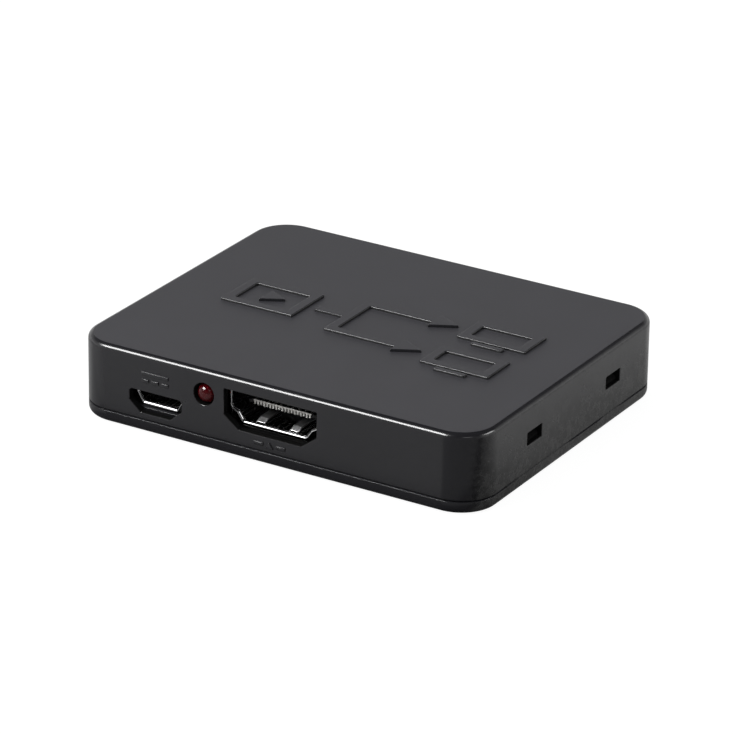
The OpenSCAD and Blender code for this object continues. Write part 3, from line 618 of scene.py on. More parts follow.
class Nodes:
    """A node tree in the making, with short ways to add the nodes that the trees share."""

    def __init__(self, tree):
        self.tree = tree

    def node(self, kind, **settings):
        """A new node with its settings."""
        node = self.tree.nodes.new(kind)
        for label, value in settings.items():
            setattr(node, label, value)
        return node

    def link(self, source, target):
        self.tree.links.new(source, target)

    def math(self, operation, *values):
        """The result of a sum with numbers and sockets."""
        node = self.node("ShaderNodeMath", operation=operation)
        for socket, value in zip(node.inputs, values):
            if isinstance(value, (int, float)):
                socket.default_value = value
            else:
                self.link(value, socket)
        return node.outputs[0]

    def span(self, source, low, high, to_low, to_high):
        """Carries one range of values over to another, smoothly."""
        node = self.node("ShaderNodeMapRange", interpolation_type="SMOOTHSTEP")
        for label, value in (
            ("From Min", low),
            ("From Max", high),
            ("To Min", to_low),
            ("To Max", to_high),
        ):
            node.inputs[label].default_value = value
        self.link(source, node.inputs["Value"])
        return node.outputs["Result"]

    def along(self, source, direction):
        """How far a vector reaches in a direction."""
        node = self.node("ShaderNodeVectorMath", operation="DOT_PRODUCT")
        node.inputs[1].default_value = direction
        self.link(source, node.inputs[0])
        return node.outputs["Value"]


# Rows of like pieces


def row_tree():
    """A node tree that sets copies of a template in a row along X."""
    name = "RowOfCopies"
    if name in bpy.data.node_groups:
        return bpy.data.node_groups[name]
    tree = bpy.data.node_groups.new(name, "GeometryNodeTree")
    for label, kind in (
        ("Template", "NodeSocketObject"),
        ("Count", "NodeSocketInt"),
        ("Pitch", "NodeSocketFloat"),
        ("Material", "NodeSocketMaterial"),
    ):
        tree.interface.new_socket(name=label, in_out="INPUT", socket_type=kind)
    tree.interface.new_socket(name="Geometry", in_out="OUTPUT", socket_type="NodeSocketGeometry")
    row = Nodes(tree)
    inputs = row.node("NodeGroupInput").outputs
    gaps = row.math("SUBTRACT", inputs["Count"], 1.0)
    whole = row.math("MULTIPLY", gaps, inputs["Pitch"])
    start = row.node("ShaderNodeCombineXYZ")
    row.link(row.math("MULTIPLY", whole, -0.5), start.inputs["X"])
    step = row.node("ShaderNodeCombineXYZ")
    row.link(inputs["Pitch"], step.inputs["X"])
    line = row.node("GeometryNodeMeshLine")
    row.link(inputs["Count"], line.inputs["Count"])
    row.link(start.outputs[0], line.inputs["Start Location"])
    row.link(step.outputs[0], line.inputs["Offset"])
    template = row.node("GeometryNodeObjectInfo")
    row.link(inputs["Template"], template.inputs["Object"])
    copies = row.node("GeometryNodeInstanceOnPoints")
    row.link(line.outputs[0], copies.inputs["Points"])
    row.link(template.outputs["Geometry"], copies.inputs["Instance"])
    realize = row.node("GeometryNodeRealizeInstances")
    row.link(copies.outputs[0], realize.inputs[0])
    paint = row.node("GeometryNodeSetMaterial")
    row.link(realize.outputs[0], paint.inputs["Geometry"])
    row.link(inputs["Material"], paint.inputs["Material"])
    output = row.node("NodeGroupOutput")
    row.link(paint.outputs[0], output.inputs["Geometry"])
    return tree


def row_of(template, count, pitch, material, place):
    """The mesh of a row of copies of a template, which is used up, set in its place."""
    tree = row_tree()
    holder = bpy.data.objects.new("row", bpy.data.meshes.new("row"))
    bpy.context.scene.collection.objects.link(holder)
    modifier = holder.modifiers.new("row", "NODES")
    modifier.node_group = tree
    values = {"Template": template, "Count": count, "Pitch": pitch, "Material": material}
    for item in tree.interface.items_tree:
        if item.in_out == "INPUT":
            modifier[item.identifier] = values[item.name]
    mesh = evaluated_mesh(holder)
    holder.modifiers.clear()
    for used in (holder, template):
        bpy.data.objects.remove(used)
    mesh.transform(place)
    return mesh


# Finishes


class Finish(Nodes):
    """A material in the making, whose constants are set on its shader's own sockets."""

    def __init__(self, name, **constants):
        self.material = bpy.data.materials.new(name)
        self.material.use_nodes = True
        super().__init__(self.material.node_tree)
        self.shader = self.tree.nodes["Principled BSDF"]
        self.coordinates = self.node("ShaderNodeTexCoord")
        for label, value in constants.items():
            self.shader.inputs[label.replace("_", " ")].default_value = value

    def set(self, label, source):
        """Gives the shader's socket a varying value."""
        self.link(source, self.shader.inputs[label])

    def noise(self, scale, detail=2.0, stretch=(1, 1, 1), roughness=0.5):
        """Noise with features about 1 / scale metres across."""
        mapping = self.node("ShaderNodeMapping")
        mapping.inputs["Scale"].default_value = stretch
        texture = self.node("ShaderNodeTexNoise")
        texture.inputs["Scale"].default_value = scale
        texture.inputs["Detail"].default_value = detail
        texture.inputs["Roughness"].default_value = roughness
        self.link(self.coordinates.outputs["Object"], mapping.inputs["Vector"])
        self.link(mapping.outputs[0], texture.inputs["Vector"])
        return texture.outputs["Fac"]

    def spread(self, noise, low=0.0, high=1.0):
        """Spreads the middle values of a noise over a range."""
        middle_low, middle_high = 0.3, 0.7
        return self.span(noise, middle_low, middle_high, low, high)

    def mix(self, factor, one, two):
        """A colour between two, which are colours or sockets."""
        node = self.node("ShaderNodeMix", data_type="RGBA")
        self.link(factor, node.inputs[0])
        for socket, value in ((node.inputs[6], one), (node.inputs[7], two)):
            if isinstance(value, tuple):
                socket.default_value = (*value, 1.0)
            else:
                self.link(value, socket)
        return node.outputs[2]

    def shades(self, factor, tint, one, two):
        """A colour between two shades of a tint."""
        return self.mix(factor, scaled(tint, one), scaled(tint, two))

    def bump(self, height, distance, amount):
        """Fine relief that bends the light, and not the mesh."""
        node = self.node("ShaderNodeBump")
        node.inputs["Strength"].default_value = amount
        node.inputs["Distance"].default_value = distance
        self.link(height, node.inputs["Height"])
        self.set("Normal", node.outputs["Normal"])

    def part(self, source, axis):
        """One part of a vector."""
        parts = self.node("ShaderNodeSeparateXYZ")
        self.link(self.coordinates.outputs[source], parts.inputs[0])
        return parts.outputs[axis]

    def place(self, axis):
        """Where a point lies along an axis."""
        return self.part("Object", axis)

    def facing(self, axis, low, high):
        """1 on faces square to an axis and 0 on faces along it."""
        square = self.math("ABSOLUTE", self.part("Normal", axis))
        return self.span(square, low, high, 0.0, 1.0)


def scaled(tint, factor):
    """A colour made lighter or darker."""
    return tuple(min(1.0, part * factor) for part in tint)


def kept(name, make, *values):
    """A material made once and used by every piece that needs it."""
    return bpy.data.materials.get(name) or make(name, *values).material


def moulded_plastic(name, tint):
    """Glossy black plastic, rough on its level faces, which carry a painted sheen that makes them
    about three times lighter, with dust and marks on its two sides.
    """
    look = Finish(name, Specular_IOR_Level=0.5)
    level = look.facing("Z", 0.97, 0.999)
    sides = look.facing("X", 0.55, 0.95)
    clouds = look.noise(120, 4.0, roughness=0.6)
    smears = look.noise(800, 5.0, roughness=0.7)
    specks = look.noise(2600, 2.0)
    grain = look.noise(9000, 2.0)
    low_down = look.span(look.place("Z"), 3 * MM, 10 * MM, 1.0, 0.5)
    gripped = look.math("MULTIPLY", sides, low_down)
    smeared = look.span(smears, 0.34, 0.66, 0, 1)
    handled = look.math("MULTIPLY", smeared, gripped)
    dusty = look.math("MULTIPLY", look.span(specks, 0.60, 0.72, 0, 1), handled)
    clean = look.spread(clouds, 0.19, 0.22)
    glossy = look.math("MULTIPLY_ADD", handled, 0.12, clean)
    look.set("Roughness", look.math("MULTIPLY_ADD", level, 0.36, glossy))
    cloudy = look.spread(clouds)
    upright = look.shades(cloudy, tint, 0.94, 1.06)
    # Painted sheen: the level faces get a colour about three times lighter than the upright ones.
    painted_top_sheen = look.shades(cloudy, tint, 2.8, 3.1)
    body = look.mix(level, upright, painted_top_sheen)
    grey = (sum(tint) / 3,) * 3
    worn = look.shades(smeared, grey, 0.4, 2.1)
    marked = look.mix(gripped, body, worn)
    look.set("Base Color", look.mix(dusty, marked, scaled(grey, 3.0)))
    look.bump(grain, 0.006 * MM, 0.25)
    return look


def plated_sheet(name, tint, low, high):
    """Plated sheet metal with faint rolling marks."""
    look = Finish(name, Metallic=1.0)
    rolled = look.noise(3000, 3.0, (1, 0.06, 1))
    stains = look.noise(500, 3.0)
    look.set("Roughness", look.spread(rolled, low, high))
    stained = look.span(stains, 0.35, 0.7, 0, 1)
    look.set("Base Color", look.shades(stained, tint, 1.0, 0.85))
    look.bump(rolled, 0.001 * MM, 0.2)
    return look


def plain_plastic(name, tint, low, high, grain_scale, shine=0.35):
    """Matt moulded plastic or resin with a fine grain."""
    look = Finish(name, Specular_IOR_Level=shine)
    grain = look.noise(grain_scale, 3.0)
    look.set("Roughness", look.spread(grain, low, high))
    grainy = look.spread(grain)
    look.set("Base Color", look.shades(grainy, tint, 0.85, 1.15))
    look.bump(grain, 0.01 * MM, 0.4)
    return look


def red_resin(name, tint):
    """Clear red resin with faint clouding."""
    look = Finish(name, Transmission_Weight=0.82, IOR=1.42, Roughness=0.06)
    cloudy = look.spread(look.noise(900, 2.0))
    look.set("Base Color", look.shades(cloudy, tint, 0.85, 1.15))
    return look


def solder_mask(name):
    """Black lacquer over copper tracks."""
    look = Finish(name, Specular_IOR_Level=0.5)
    across = look.noise(260, 1.0, (1, 0.05, 1))
    along = look.noise(260, 1.0, (0.05, 1, 1))
    tracks = look.math(
        "MAXIMUM",
        look.span(across, 0.56, 0.58, 0, 1),
        look.span(along, 0.58, 0.60, 0, 1),
    )
    clouds = look.noise(150, 2.0)
    ground = look.mix(clouds, (0.004, 0.0045, 0.005), (0.006, 0.0065, 0.007))
    look.set("Base Color", look.mix(tracks, ground, (0.014, 0.014, 0.012)))
    look.set("Roughness", look.spread(clouds, 0.34, 0.46))
    look.bump(tracks, 0.03 * MM, 0.6)
    return look


def case_plastic(settings):
    return kept("case_plastic", moulded_plastic, tuple(settings.case.tint))


def socket_metal(settings):
    return kept("socket_metal", plated_sheet, tuple(settings.sockets.metal), 0.06, 0.1)


def spring_metal(settings):
    return kept("spring_metal", plated_sheet, tuple(settings.sockets.metal), 0.32, 0.4)


def contact_plating(settings):
    return kept("contact_plating", plated_sheet, tuple(settings.sockets.plating), 0.28, 0.36)


def insulator_plastic():
    return kept("insulator_plastic", plain_plastic, (0.008, 0.008, 0.009), 0.45, 0.6, 2500)


# Near-black, hardly shiny plastic for the hooks, darker than the case: painted shade where the
# catches sit in their windows.
def hook_plastic():
    return kept("hook_plastic", plain_plastic, (0.002, 0.002, 0.002), 0.7, 0.85, 2500, 0.05)


# A darker matt plastic for the case's inside and the walls of its openings: painted shade for the
# dim recesses.
def inner_plastic():
    return kept("inner_plastic", plain_plastic, (0.004, 0.004, 0.004), 0.55, 0.7, 2500, 0.12)


def tinned_metal():
    return kept("tinned_metal", plated_sheet, (0.62, 0.61, 0.58), 0.2, 0.3)


# The case


def case_loop(case, inset, z):
    """A loop round the case at a height, inset from its outside, with stops down its right."""
    outline = rectangle(2 * (HALF_W - inset), 2 * (HALF_D - inset))
    points = rounded(outline, case.corner - inset, CORNER_STEPS)
    stops = [Vector((HALF_W - inset, y * MM)) for y, _ in SEAM_STOPS]
    points[RIGHT_START:RIGHT_START] = stops
    return at_height(points, z)


def seam_loop(case):
    """The bottom cover's rim, which stands higher where the seam is nearly shut."""
    points = case_loop(case, 0.0, SEAM_Z)
    for point, (_, shut) in zip(points[RIGHT_START:], SEAM_STOPS):
        point.z += shut * case.shadow_height
    return points


def edge_arc(radius, z, up):
    """Insets and heights of a rounded edge, from the upright wall to the level face at z."""
    turns = [math.pi / 2 * k / EDGE_STEPS for k in range(EDGE_STEPS + 1)]
    return [(radius * (1 - math.cos(a)), z - up * radius * (1 - math.sin(a))) for a in turns]


def post_places(case):
    """The middles of the four posts."""
    x, y = HALF_W - case.post_inset_x, HALF_D - case.post_inset_y
    return [Vector((side * x, end * y, 0)) for side in (-1, 1) for end in (-1, 1)]


def video_places():
    """Each video socket's name, and the place of its mouth's middle, turned to face out."""
    for name in VIDEO_SOCKETS:
        low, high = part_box(name + "_insulator")
        shell_low, shell_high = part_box(name + "_shell")
        middle = (low + high) / 2
        at_front = middle.y < 0
        mouth = Vector((middle.x, shell_low.y if at_front else shell_high.y, middle.z))
        turn = Matrix.Rotation(0 if at_front else math.pi, 4, "Z")
        yield name, Matrix.Translation(mouth) @ turn


def power_place():
    """The place of the power socket's mouth."""
    low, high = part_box("power_insulator")
    middle = (low + high) / 2
    return Matrix.Translation((middle.x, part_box("power_shell")[0].y, middle.z))


def lamp_place():
    """The middle of the lamp's back, with Z along the lens to its tip."""
    low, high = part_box("lamp_lens")
    middle = (low + high) / 2
    forward = Matrix.Rotation(math.pi / 2, 4, "X")
    return Matrix.Translation((middle.x, high.y, middle.z)) @ forward


def hook_places():
    """Each hook's name, its side and the middle of its width."""
    for name in HOOKS:
        low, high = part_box(name)
        yield name, math.copysign(1, low.x), (low.y + high.y) / 2


def video_cut(sockets):
    """The outline of a video socket's cut-out, about the socket's middle."""
    half, top = sockets.cut_width / 2, sockets.cut_height / 2 - sockets.cut_drop
    low, side_low = top - sockets.cut_height, top - sockets.cut_side
    right = [(sockets.cut_floor / 2, low), (half, side_low), (half, top)]
    return both_sides(right)


def power_cut(power):
    """The outline of the power socket's cut-out, about the socket's middle."""
    half = power.cut_width / 2
    side_top = power.cut_top - power.cut_corner
    right = [
        (power.cut_floor / 2, -power.cut_low),
        (half, side_top - power.cut_side),
        (half, side_top),
        (half - power.cut_corner, power.cut_top),
    ]
    return both_sides(right)


def hook_outline(hooks):
    """A hook's arm with its round root and its catch, across and up, on the right side."""
    inner, outer = HOOK_LOW.x, HOOK_LOW.x + hooks.arm
    root = hooks.arm / 2
    catch_low = HOOK_HIGH.z - hooks.tip - hooks.catch_height
    turns = [math.pi + math.pi * k / EDGE_STEPS for k in range(EDGE_STEPS + 1)]
    middle = Vector((inner + root, HOOK_LOW.z + root))
    round_end = [middle + root * Vector((math.cos(a), math.sin(a))) for a in turns]
    return round_end + flat(
        (outer, catch_low),
        (outer + hooks.reach, catch_low),
        (outer + hooks.reach, catch_low + hooks.flat),
        (outer, HOOK_HIGH.z - hooks.tip),
        (outer, HOOK_HIGH.z),
        (inner, HOOK_HIGH.z),
    )


def hook_window(hooks):
    """The low and high corners of the right side's window, about the middle of its width."""
    half = HOOK_HALF + hooks.side_gap
    top = HOOK_HIGH.z - hooks.tip
    return (
        (HOOK_LOW.x + hooks.arm, -half, top - hooks.catch_height - hooks.low_gap),
        (HALF_W + PAST, half, top + hooks.head_gap),
    )


def mirrored(low, high, side, y):
    """Two corners of a block on the right side, carried to either side and along to y."""
    if side > 0:
        return (low[0], low[1] + y, low[2]), (high[0], high[1] + y, high[2])
    return (-high[0], low[1] + y, low[2]), (-low[0], high[1] + y, high[2])


def cover_cutter(settings):
    """The shapes of every opening in the top cover."""
    behind = settings.case.wall + PAST
    places = [(place, video_cut(settings.sockets)) for _, place in video_places()]
    places.append((power_place(), power_cut(settings.power)))
    bm = bmesh.new()
    for place, outline in places:
        add_skin(bm, [at_depth(outline, -behind - PAST), at_depth(outline, PAST)], place=place)
    lens_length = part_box("lamp_lens")[1].y + HALF_D
    hole = settings.lamp.lens / 2 + settings.lamp.gap
    inner, outer = lens_length - behind, lens_length + PAST
    add_lathe(bm, [(0, inner), (hole, inner), (hole, outer), (0, outer)], lamp_place())
    window = hook_window(settings.hooks)
    for _, side, y in hook_places():
        add_block(bm, *mirrored(*window, side, y))
    return new_object("openings", bm)


def make_top_cover(settings):
    """The roof, the walls with their openings, and the tubes that hold the board down."""
    case = settings.case
    roof_z = COVER_HIGH.z - settings.marks.roof_height
    ceiling_z = roof_z - case.roof
    shadow_top = SEAM_Z + case.shadow_height
    profile = [
        (case.wall, ceiling_z),
        (case.wall, SEAM_Z),
        (case.shadow_depth, SEAM_Z),
        (case.shadow_depth, shadow_top),
        (0.0, shadow_top),
    ]
    profile += edge_arc(case.edge, roof_z, 1)
    bm = bmesh.new()
    add_skin(bm, [case_loop(case, inset, z) for inset, z in profile])
    shell = new_object("cover_shell", bm)
    # Faces turned inwards or down take the darker plastic, painted shade inside the case.
    facing_down = -0.5
    for face in shell.data.polygons:
        outward = face.normal.xy.dot(face.center.xy)
        face.material_index = int(outward < 0 or face.normal.z < facing_down)
    for material in (case_plastic(settings), inner_plastic()):
        shell.data.materials.append(material)
    cutter = cover_cutter(settings)
    # The openings' walls take the darker plastic too, painted shade in the cut-outs.
    for face in cutter.data.polygons:
        face.material_index = 1
    cut_out(shell, cutter)
    bm = bmesh.new()
    hole = case.pin / 2 + case.pin_gap
    hole_top = BASE_HIGH.z + case.pin_gap
    sunk = case.roof / 4
    for place in post_places(case):
        tube = [
            (0, hole_top),
            (hole, hole_top),
            (hole, BOARD_TOP),
            (case.post / 2, BOARD_TOP),
            (case.post / 2, ceiling_z + sunk),
            (0, ceiling_z + sunk),
        ]
        add_lathe(bm, tube, Matrix.Translation(place))
    cover = joined("case_top", shell, new_object("cover_posts", bm))
    soften(cover, case.softness, 3)
    finish(cover, case_plastic(settings), "case", "case_black", "top_cover")
    cover.data.materials.append(inner_plastic())


def make_bottom_cover(settings):
    """The floor, the rim and lip with seats for the hooks, and the posts with their pins."""
    case, hooks = settings.case, settings.hooks
    lip_out = case.wall + case.lip_gap
    lip_in = lip_out + case.lip
    lip_top = SEAM_Z + case.lip_height
    profile = [
        (lip_in, case.floor),
        (lip_in, lip_top),
        (lip_out, lip_top),
        (lip_out, SEAM_Z),
    ]
    arc = [case_loop(case, inset, z) for inset, z in edge_arc(case.edge, 0.0, -1)]
    bm = bmesh.new()
    loops = [case_loop(case, inset, z) for inset, z in profile]
    add_skin(bm, [*loops, seam_loop(case), *arc])
    shell = new_object("base_shell", bm)
    seat = hooks.arm / 2 + hooks.root_gap
    half = HOOK_HALF + hooks.seat_room
    root = Vector((HOOK_LOW.x + hooks.arm / 2, 0, HOOK_LOW.z + hooks.arm / 2))
    notch = (
        (HALF_W - lip_in - PAST / 4, -half, case.floor),
        (HALF_W - case.wall, half, lip_top + PAST),
    )
    bm = bmesh.new()
    for _, side, y in hook_places():
        add_block(bm, *mirrored(*notch, side, y))
    cut_out(shell, new_object("hook_notches", bm))
    bm = bmesh.new()
    lie_down = Matrix.Rotation(math.pi / 2, 4, "X")
    for _, side, y in hook_places():
        place = Matrix.Translation((side * root.x, y, root.z)) @ lie_down
        add_lathe(bm, [(0, -half), (seat, -half), (seat, half), (0, half)], place)
    cut_out(shell, new_object("hook_seats", bm))
    bm = bmesh.new()
    sunk = case.floor / 4
    for place in post_places(case):
        post = [
            (0, case.floor - sunk),
            (case.post / 2, case.floor - sunk),
            (case.post / 2, BOARD_LOW.z),
            (case.pin / 2, BOARD_LOW.z),
            (case.pin / 2, BASE_HIGH.z),
            (0, BASE_HIGH.z),
        ]
        add_lathe(bm, post, Matrix.Translation(place))
    base = joined("case_bottom", shell, new_object("base_posts", bm))
    soften(base, case.base_softness)
    finish(base, case_plastic(settings), "case", "case_black", "bottom_cover")


def make_hooks(settings):
    """The four snap hooks, each on its own body."""
    outline = hook_outline(settings.hooks)
    for name, side, y in hook_places():
        bm = bmesh.new()
        loops = [at_depth(outline, y - HOOK_HALF), at_depth(outline, y + HOOK_HALF)]
        add_skin(bm, loops, place=Matrix.Diagonal((side, 1, 1, 1)))
        hook = new_object("snap_" + name, bm)
        soften(hook, settings.case.softness)
        # The hooks take the near-black plastic, painted shade in their windows.
        finish(hook, hook_plastic(), name, "insulator_black", name)


# The raised marks


def arrow_head(reach, width, place):
    """An arrow head that points along X."""
    return [place + point for point in flat((0, -width / 2), (reach, 0), (0, width / 2))]


def add_raised(bm, outline, low, high):
    """A flat outline raised between two heights."""
    add_skin(bm, [at_height(outline, low), at_height(outline, high)])


def add_frame(bm, width, height, line, middle, low, high):
    """A raised rectangular frame."""
    outer = rectangle(width, height, middle)
    inner = rectangle(width - 2 * line, height - 2 * line, middle)
    corners = ((outer, low), (outer, high), (inner, high), (inner, low))
    add_skin(bm, [at_height(outline, z) for outline, z in corners], ring=True)


def fork_outline(start, fork_x, branch_y, arrow_x, line, arrow):
    """A line that forks into two arrows."""
    half = line / 2
    reach, width = arrow
    tip = [(arrow_x, half), (arrow_x, width / 2), (arrow_x + reach, 0)]
    tip += [(x, -y) for x, y in reversed(tip[:2])]
    lower = [(x, -branch_y - y) for x, y in tip]
    upper = [(x, branch_y - y) for x, y in tip]
    return flat(
        (start, -half),
        (fork_x - half, -half),
        (fork_x - half, -branch_y - half),
        *lower,
        (fork_x + half, half - branch_y),
        (fork_x + half, branch_y - half),
        *upper,
        (fork_x - half, branch_y + half),
        (fork_x - half, half),
        (start, half),
    )


def make_roof_mark(settings):
    """A player on the left that feeds two screens on the right."""
    marks = settings.marks
    line = marks.roof_line
    high = COVER_HIGH.z
    low = high - marks.roof_height - settings.case.roof / 4
    player = Vector((12, 9)) * MM
    player_x = -16.5 * MM
    screen = Vector((11, 6.4)) * MM
    screen_x = 18.5 * MM
    branch_y = 5.2 * MM
    stand = Vector((5, 0.9)) * MM
    play = Vector((3.4, 3.8)) * MM
    play_x = player_x - 1.2 * MM
    fork_x = -3.5 * MM
    arrow_x = 7.5 * MM
    arrow = Vector((4, 4.2)) * MM
    start = player_x + player.x / 2 + line
    bm = bmesh.new()
    add_frame(bm, *player, line, (player_x, 0), low, high)
    add_raised(bm, arrow_head(*play, Vector((play_x, 0))), low, high)
    fork = fork_outline(start, fork_x, branch_y, arrow_x, line, arrow)
    add_raised(bm, fork, low, high)
    for side in (-1, 1):
        add_frame(bm, *screen, line, (screen_x, side * branch_y), low, high)
        foot = (screen_x, side * branch_y - screen.y / 2 - stand.y)
        add_raised(bm, rectangle(*stand, foot), low, high)
    mark = new_object("roof_mark", bm)
    soften(mark, marks.roof_softness, 3)
    finish(mark, case_plastic(settings), "case", "case_black")


def make_face_marks(settings):
    """A direct-current mark over the power socket, and flow marks under the video sockets."""
    marks, sockets = settings.marks, settings.sockets
    line = marks.face_line
    sunk = settings.case.wall / 4
    bm = bmesh.new()

    def raise_on_face(outline, place):
        loops = [at_depth(outline, sunk), at_depth(outline, -marks.face_height)]
        add_skin(bm, loops, place=place)

    power = power_place().translation
    mark_width = 4.5 * MM
    gap = 0.45 * MM
    apart = 0.55 * MM
    rise = 3.4 * MM
    dash = (mark_width - 2 * gap) / 3
    place = Matrix.Translation((power.x, -HALF_D, power.z + rise))
    raise_on_face(rectangle(mark_width, line, (0, apart)), place)
    for k in (-1, 0, 1):
        raise_on_face(rectangle(dash, line, (k * (dash + gap), -apart)), place)
    head = Vector((0.95, 1.3)) * MM
    dash_x = 1.8 * MM
    dash = 1.5 * MM
    pip = 0.75 / 2 * MM
    pip_x = 3.5 * MM
    pip_pitch = 1.2 * MM
    pip_profile = [(0, -sunk), (pip, -sunk), (pip, marks.face_height), (0, marks.face_height)]
    for number, (_, mouth) in enumerate(video_places()):
        spot = mouth.translation
        cut_low = spot.z - sockets.cut_drop - sockets.cut_height / 2
        middle = (SEAM_Z + settings.case.shadow_height + cut_low) / 2
        up = -1 if number else 1
        face = Matrix.Translation((spot.x, math.copysign(HALF_D, spot.y), middle))
        place = face @ mouth.to_3x3().to_4x4()
        half = up * head.x / 2
        raise_on_face(flat((-head.y / 2, -half), (head.y / 2, -half), (0, half)), place)
        for side in (-1, 1):
            raise_on_face(rectangle(dash, line, (side * dash_x, 0)), place)
        outward = place @ Matrix.Rotation(math.pi / 2, 4, "X")
        for k in range(number):
            pip_place = outward @ Matrix.Translation((pip_x + k * pip_pitch, 0, 0))
            add_lathe(bm, pip_profile, pip_place, PIP_STEPS)
    mark = new_object("face_marks", bm)
    soften(mark, marks.face_softness)
    finish(mark, case_plastic(settings), "case", "case_black")


# The sockets


def rim_path(sizes):
    """Flares, growths and depths along a sleeve's skin, from its inside round its thin rim."""
    half = sizes.rim / 2
    slope = math.atan(sizes.curl * sizes.flare / sizes.flare_length)
    mouth = half * (1 - math.sin(slope))
    curve = []
    for k in range(RIM_STEPS + 1):
        part = k / RIM_STEPS
        sheet = sizes.sheet + (sizes.rim - sizes.sheet) * part
        y = mouth + (sizes.flare_length - mouth) * (1 - part)
        curve.append((sizes.flare * part**sizes.curl, sheet, y))
    turns = [slope + math.pi * k / RIM_STEPS for k in range(1, RIM_STEPS)]
    inside = [(flare, 0.0, y) for flare, _, y in curve]
    rim = [
        (sizes.flare, half * (math.cos(slope) - math.cos(a)), half * (1 - math.sin(a)))
        for a in turns
    ]
    outside = list(reversed(curve[:-1]))
    ends = (0.0, 0.0, sizes.depth), (0.0, sizes.sheet, sizes.depth)
    return [ends[0], *inside, *rim, *outside, ends[1]]


def add_sleeve(bm, sizes, section, bends, widen):
    """A sheet folded round a section, with a mouth that the function widen flares."""
    loops = []
    for flare, out, y in rim_path(sizes):
        outline = grown(widen(section, flare), out)
        loops.append(at_depth(rounded(outline, [abs(bend + out) for bend in bends]), y))
    add_skin(bm, loops, ring=True)


def add_legs(bm, sizes, low, places):
    """Soldered legs that hang from a socket's upright sides."""
    part_of_sheet = 0.9
    slim = sizes.sheet / 2 * part_of_sheet
    half = sizes.leg_width / 2
    for side in (-1, 1):
        x = side * (sizes.width + sizes.sheet) / 2
        for y in places:
            add_block(bm, (x - slim, y - half, low), (x + slim, y + half, 0))


def make_video_shell(settings, name, place):
    """A video socket's folded sleeve, with windows for its fingers and four legs."""
    sockets = settings.sockets
    node = name + "_shell"
    end_room, side_room = 0.05 * MM, 0.1 * MM
    front_leg, rear_leg = 2.6 * MM, 2 * MM
    softness = 0.03 * MM
    bm = bmesh.new()
    add_sleeve(bm, sockets, *video_section(sockets), sagged)
    sleeve = new_object("sleeve", bm)
    bm = bmesh.new()
    room = sockets.finger / 2 + end_room
    half = sockets.finger_width / 2 + side_room
    start = sockets.finger_root - room
    end = sockets.finger_root + sockets.finger_length + room
    reach = sockets.height
    for side in (-1, 1):
        x = side * sockets.finger_pitch / 2
        for low, high in ((sockets.tongue, reach), (-reach, -sockets.tongue)):
            add_block(bm, (x - half, start, low), (x + half, end, high))
    cut_out(sleeve, new_object("finger_windows", bm))
    bm = bmesh.new()
    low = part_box(node)[0].z - place.translation.z
    add_legs(bm, sockets, low, (front_leg, sockets.depth - rear_leg))
    shell = joined(name + "_socket_shell", sleeve, new_object("legs", bm))
    soften(shell, softness, limit=50)
    shell.data.transform(place)
    finish(shell, socket_metal(settings), "case", "socket_steel", node)


def make_video_insulator(settings, name, place):
    """The block that closes a video socket, and the tongue that carries its contacts."""
    sockets = settings.sockets
    softness = 0.04 * MM
    bm = bmesh.new()
    section, bends = video_section(sockets)
    block = rounded(grown(section, -FIT), [abs(bend) for bend in bends])
    add_skin(bm, [at_depth(block, sockets.block), at_depth(block, sockets.depth)])
    half_w, half_t = sockets.tongue_width / 2, sockets.tongue / 2
    nose = 0.12 * MM
    low, high = -half_t - sockets.tongue_drop, half_t - sockets.tongue_drop
    outline = flat(
        (sockets.tongue_inset + nose, low),
        (sockets.block + nose, low),
        (sockets.block + nose, high),
        (sockets.tongue_inset + nose, high),
        (sockets.tongue_inset, high - nose),
        (sockets.tongue_inset, low + nose),
    )
    sides = [[Vector((x, p.x, p.y)) for p in outline] for x in (-half_w, half_w)]
    add_skin(bm, sides)
    insulator = new_object(name + "_socket_insulator", bm)
    soften(insulator, softness)
    insulator.data.transform(place)
    finish(insulator, insulator_plastic(), "case", "insulator_black", name + "_insulator")


def contact_template(sockets, tip, z, back, foot_z, head=()):
    """One contact: a tip, a strip along a tongue, a tail behind the block and a foot."""
    tail_gap, foot_reach = 0.3 * MM, 1.4 * MM
    bend = sockets.contact * 0.9
    tail, foot = back + tail_gap, back + foot_reach
    corners = flat(*tip, (tail, z), (tail, foot_z), (foot, foot_z))
    bm = bmesh.new()
    path = bent(corners, bend, SMALL_BEND_STEPS)
    add_strip(bm, path, 0, sockets.contact_width, sockets.contact)
    if head:
        add_block(bm, *head)
    return new_object("contact", bm)


def make_video_contacts(settings, name, place):
    """The two rows of contacts on a video socket's tongue."""
    sockets = settings.sockets
    material = contact_plating(settings)
    front = sockets.tongue_inset - sockets.contact / 2
    low = -sockets.tongue / 2 - sockets.tongue_drop
    high = low + sockets.tongue
    lift = sockets.contact / 2
    head = (
        (-sockets.head_width / 2, front - lift, high + 2 * lift - sockets.head_height),
        (sockets.head_width / 2, front + lift, high + 2 * lift),
    )
    foot_z = BOARD_TOP - place.translation.z + lift
    rows = []
    for start, z, count in (
        (low, high + lift, sockets.upper_contacts),
        (high, low - lift, sockets.lower_contacts),
    ):
        tip = [(front, start), (front, z)]
        template = contact_template(sockets, tip, z, sockets.depth, foot_z, head)
        rows.append(row_of(template, count, sockets.contact_pitch, material, place))
    contacts = new_object(name + "_socket_contacts", merged(rows))
    soften(contacts, CONTACT_SOFTNESS, 1)
    finish(contacts, material, "case", "contact_plating", name + "_contacts")


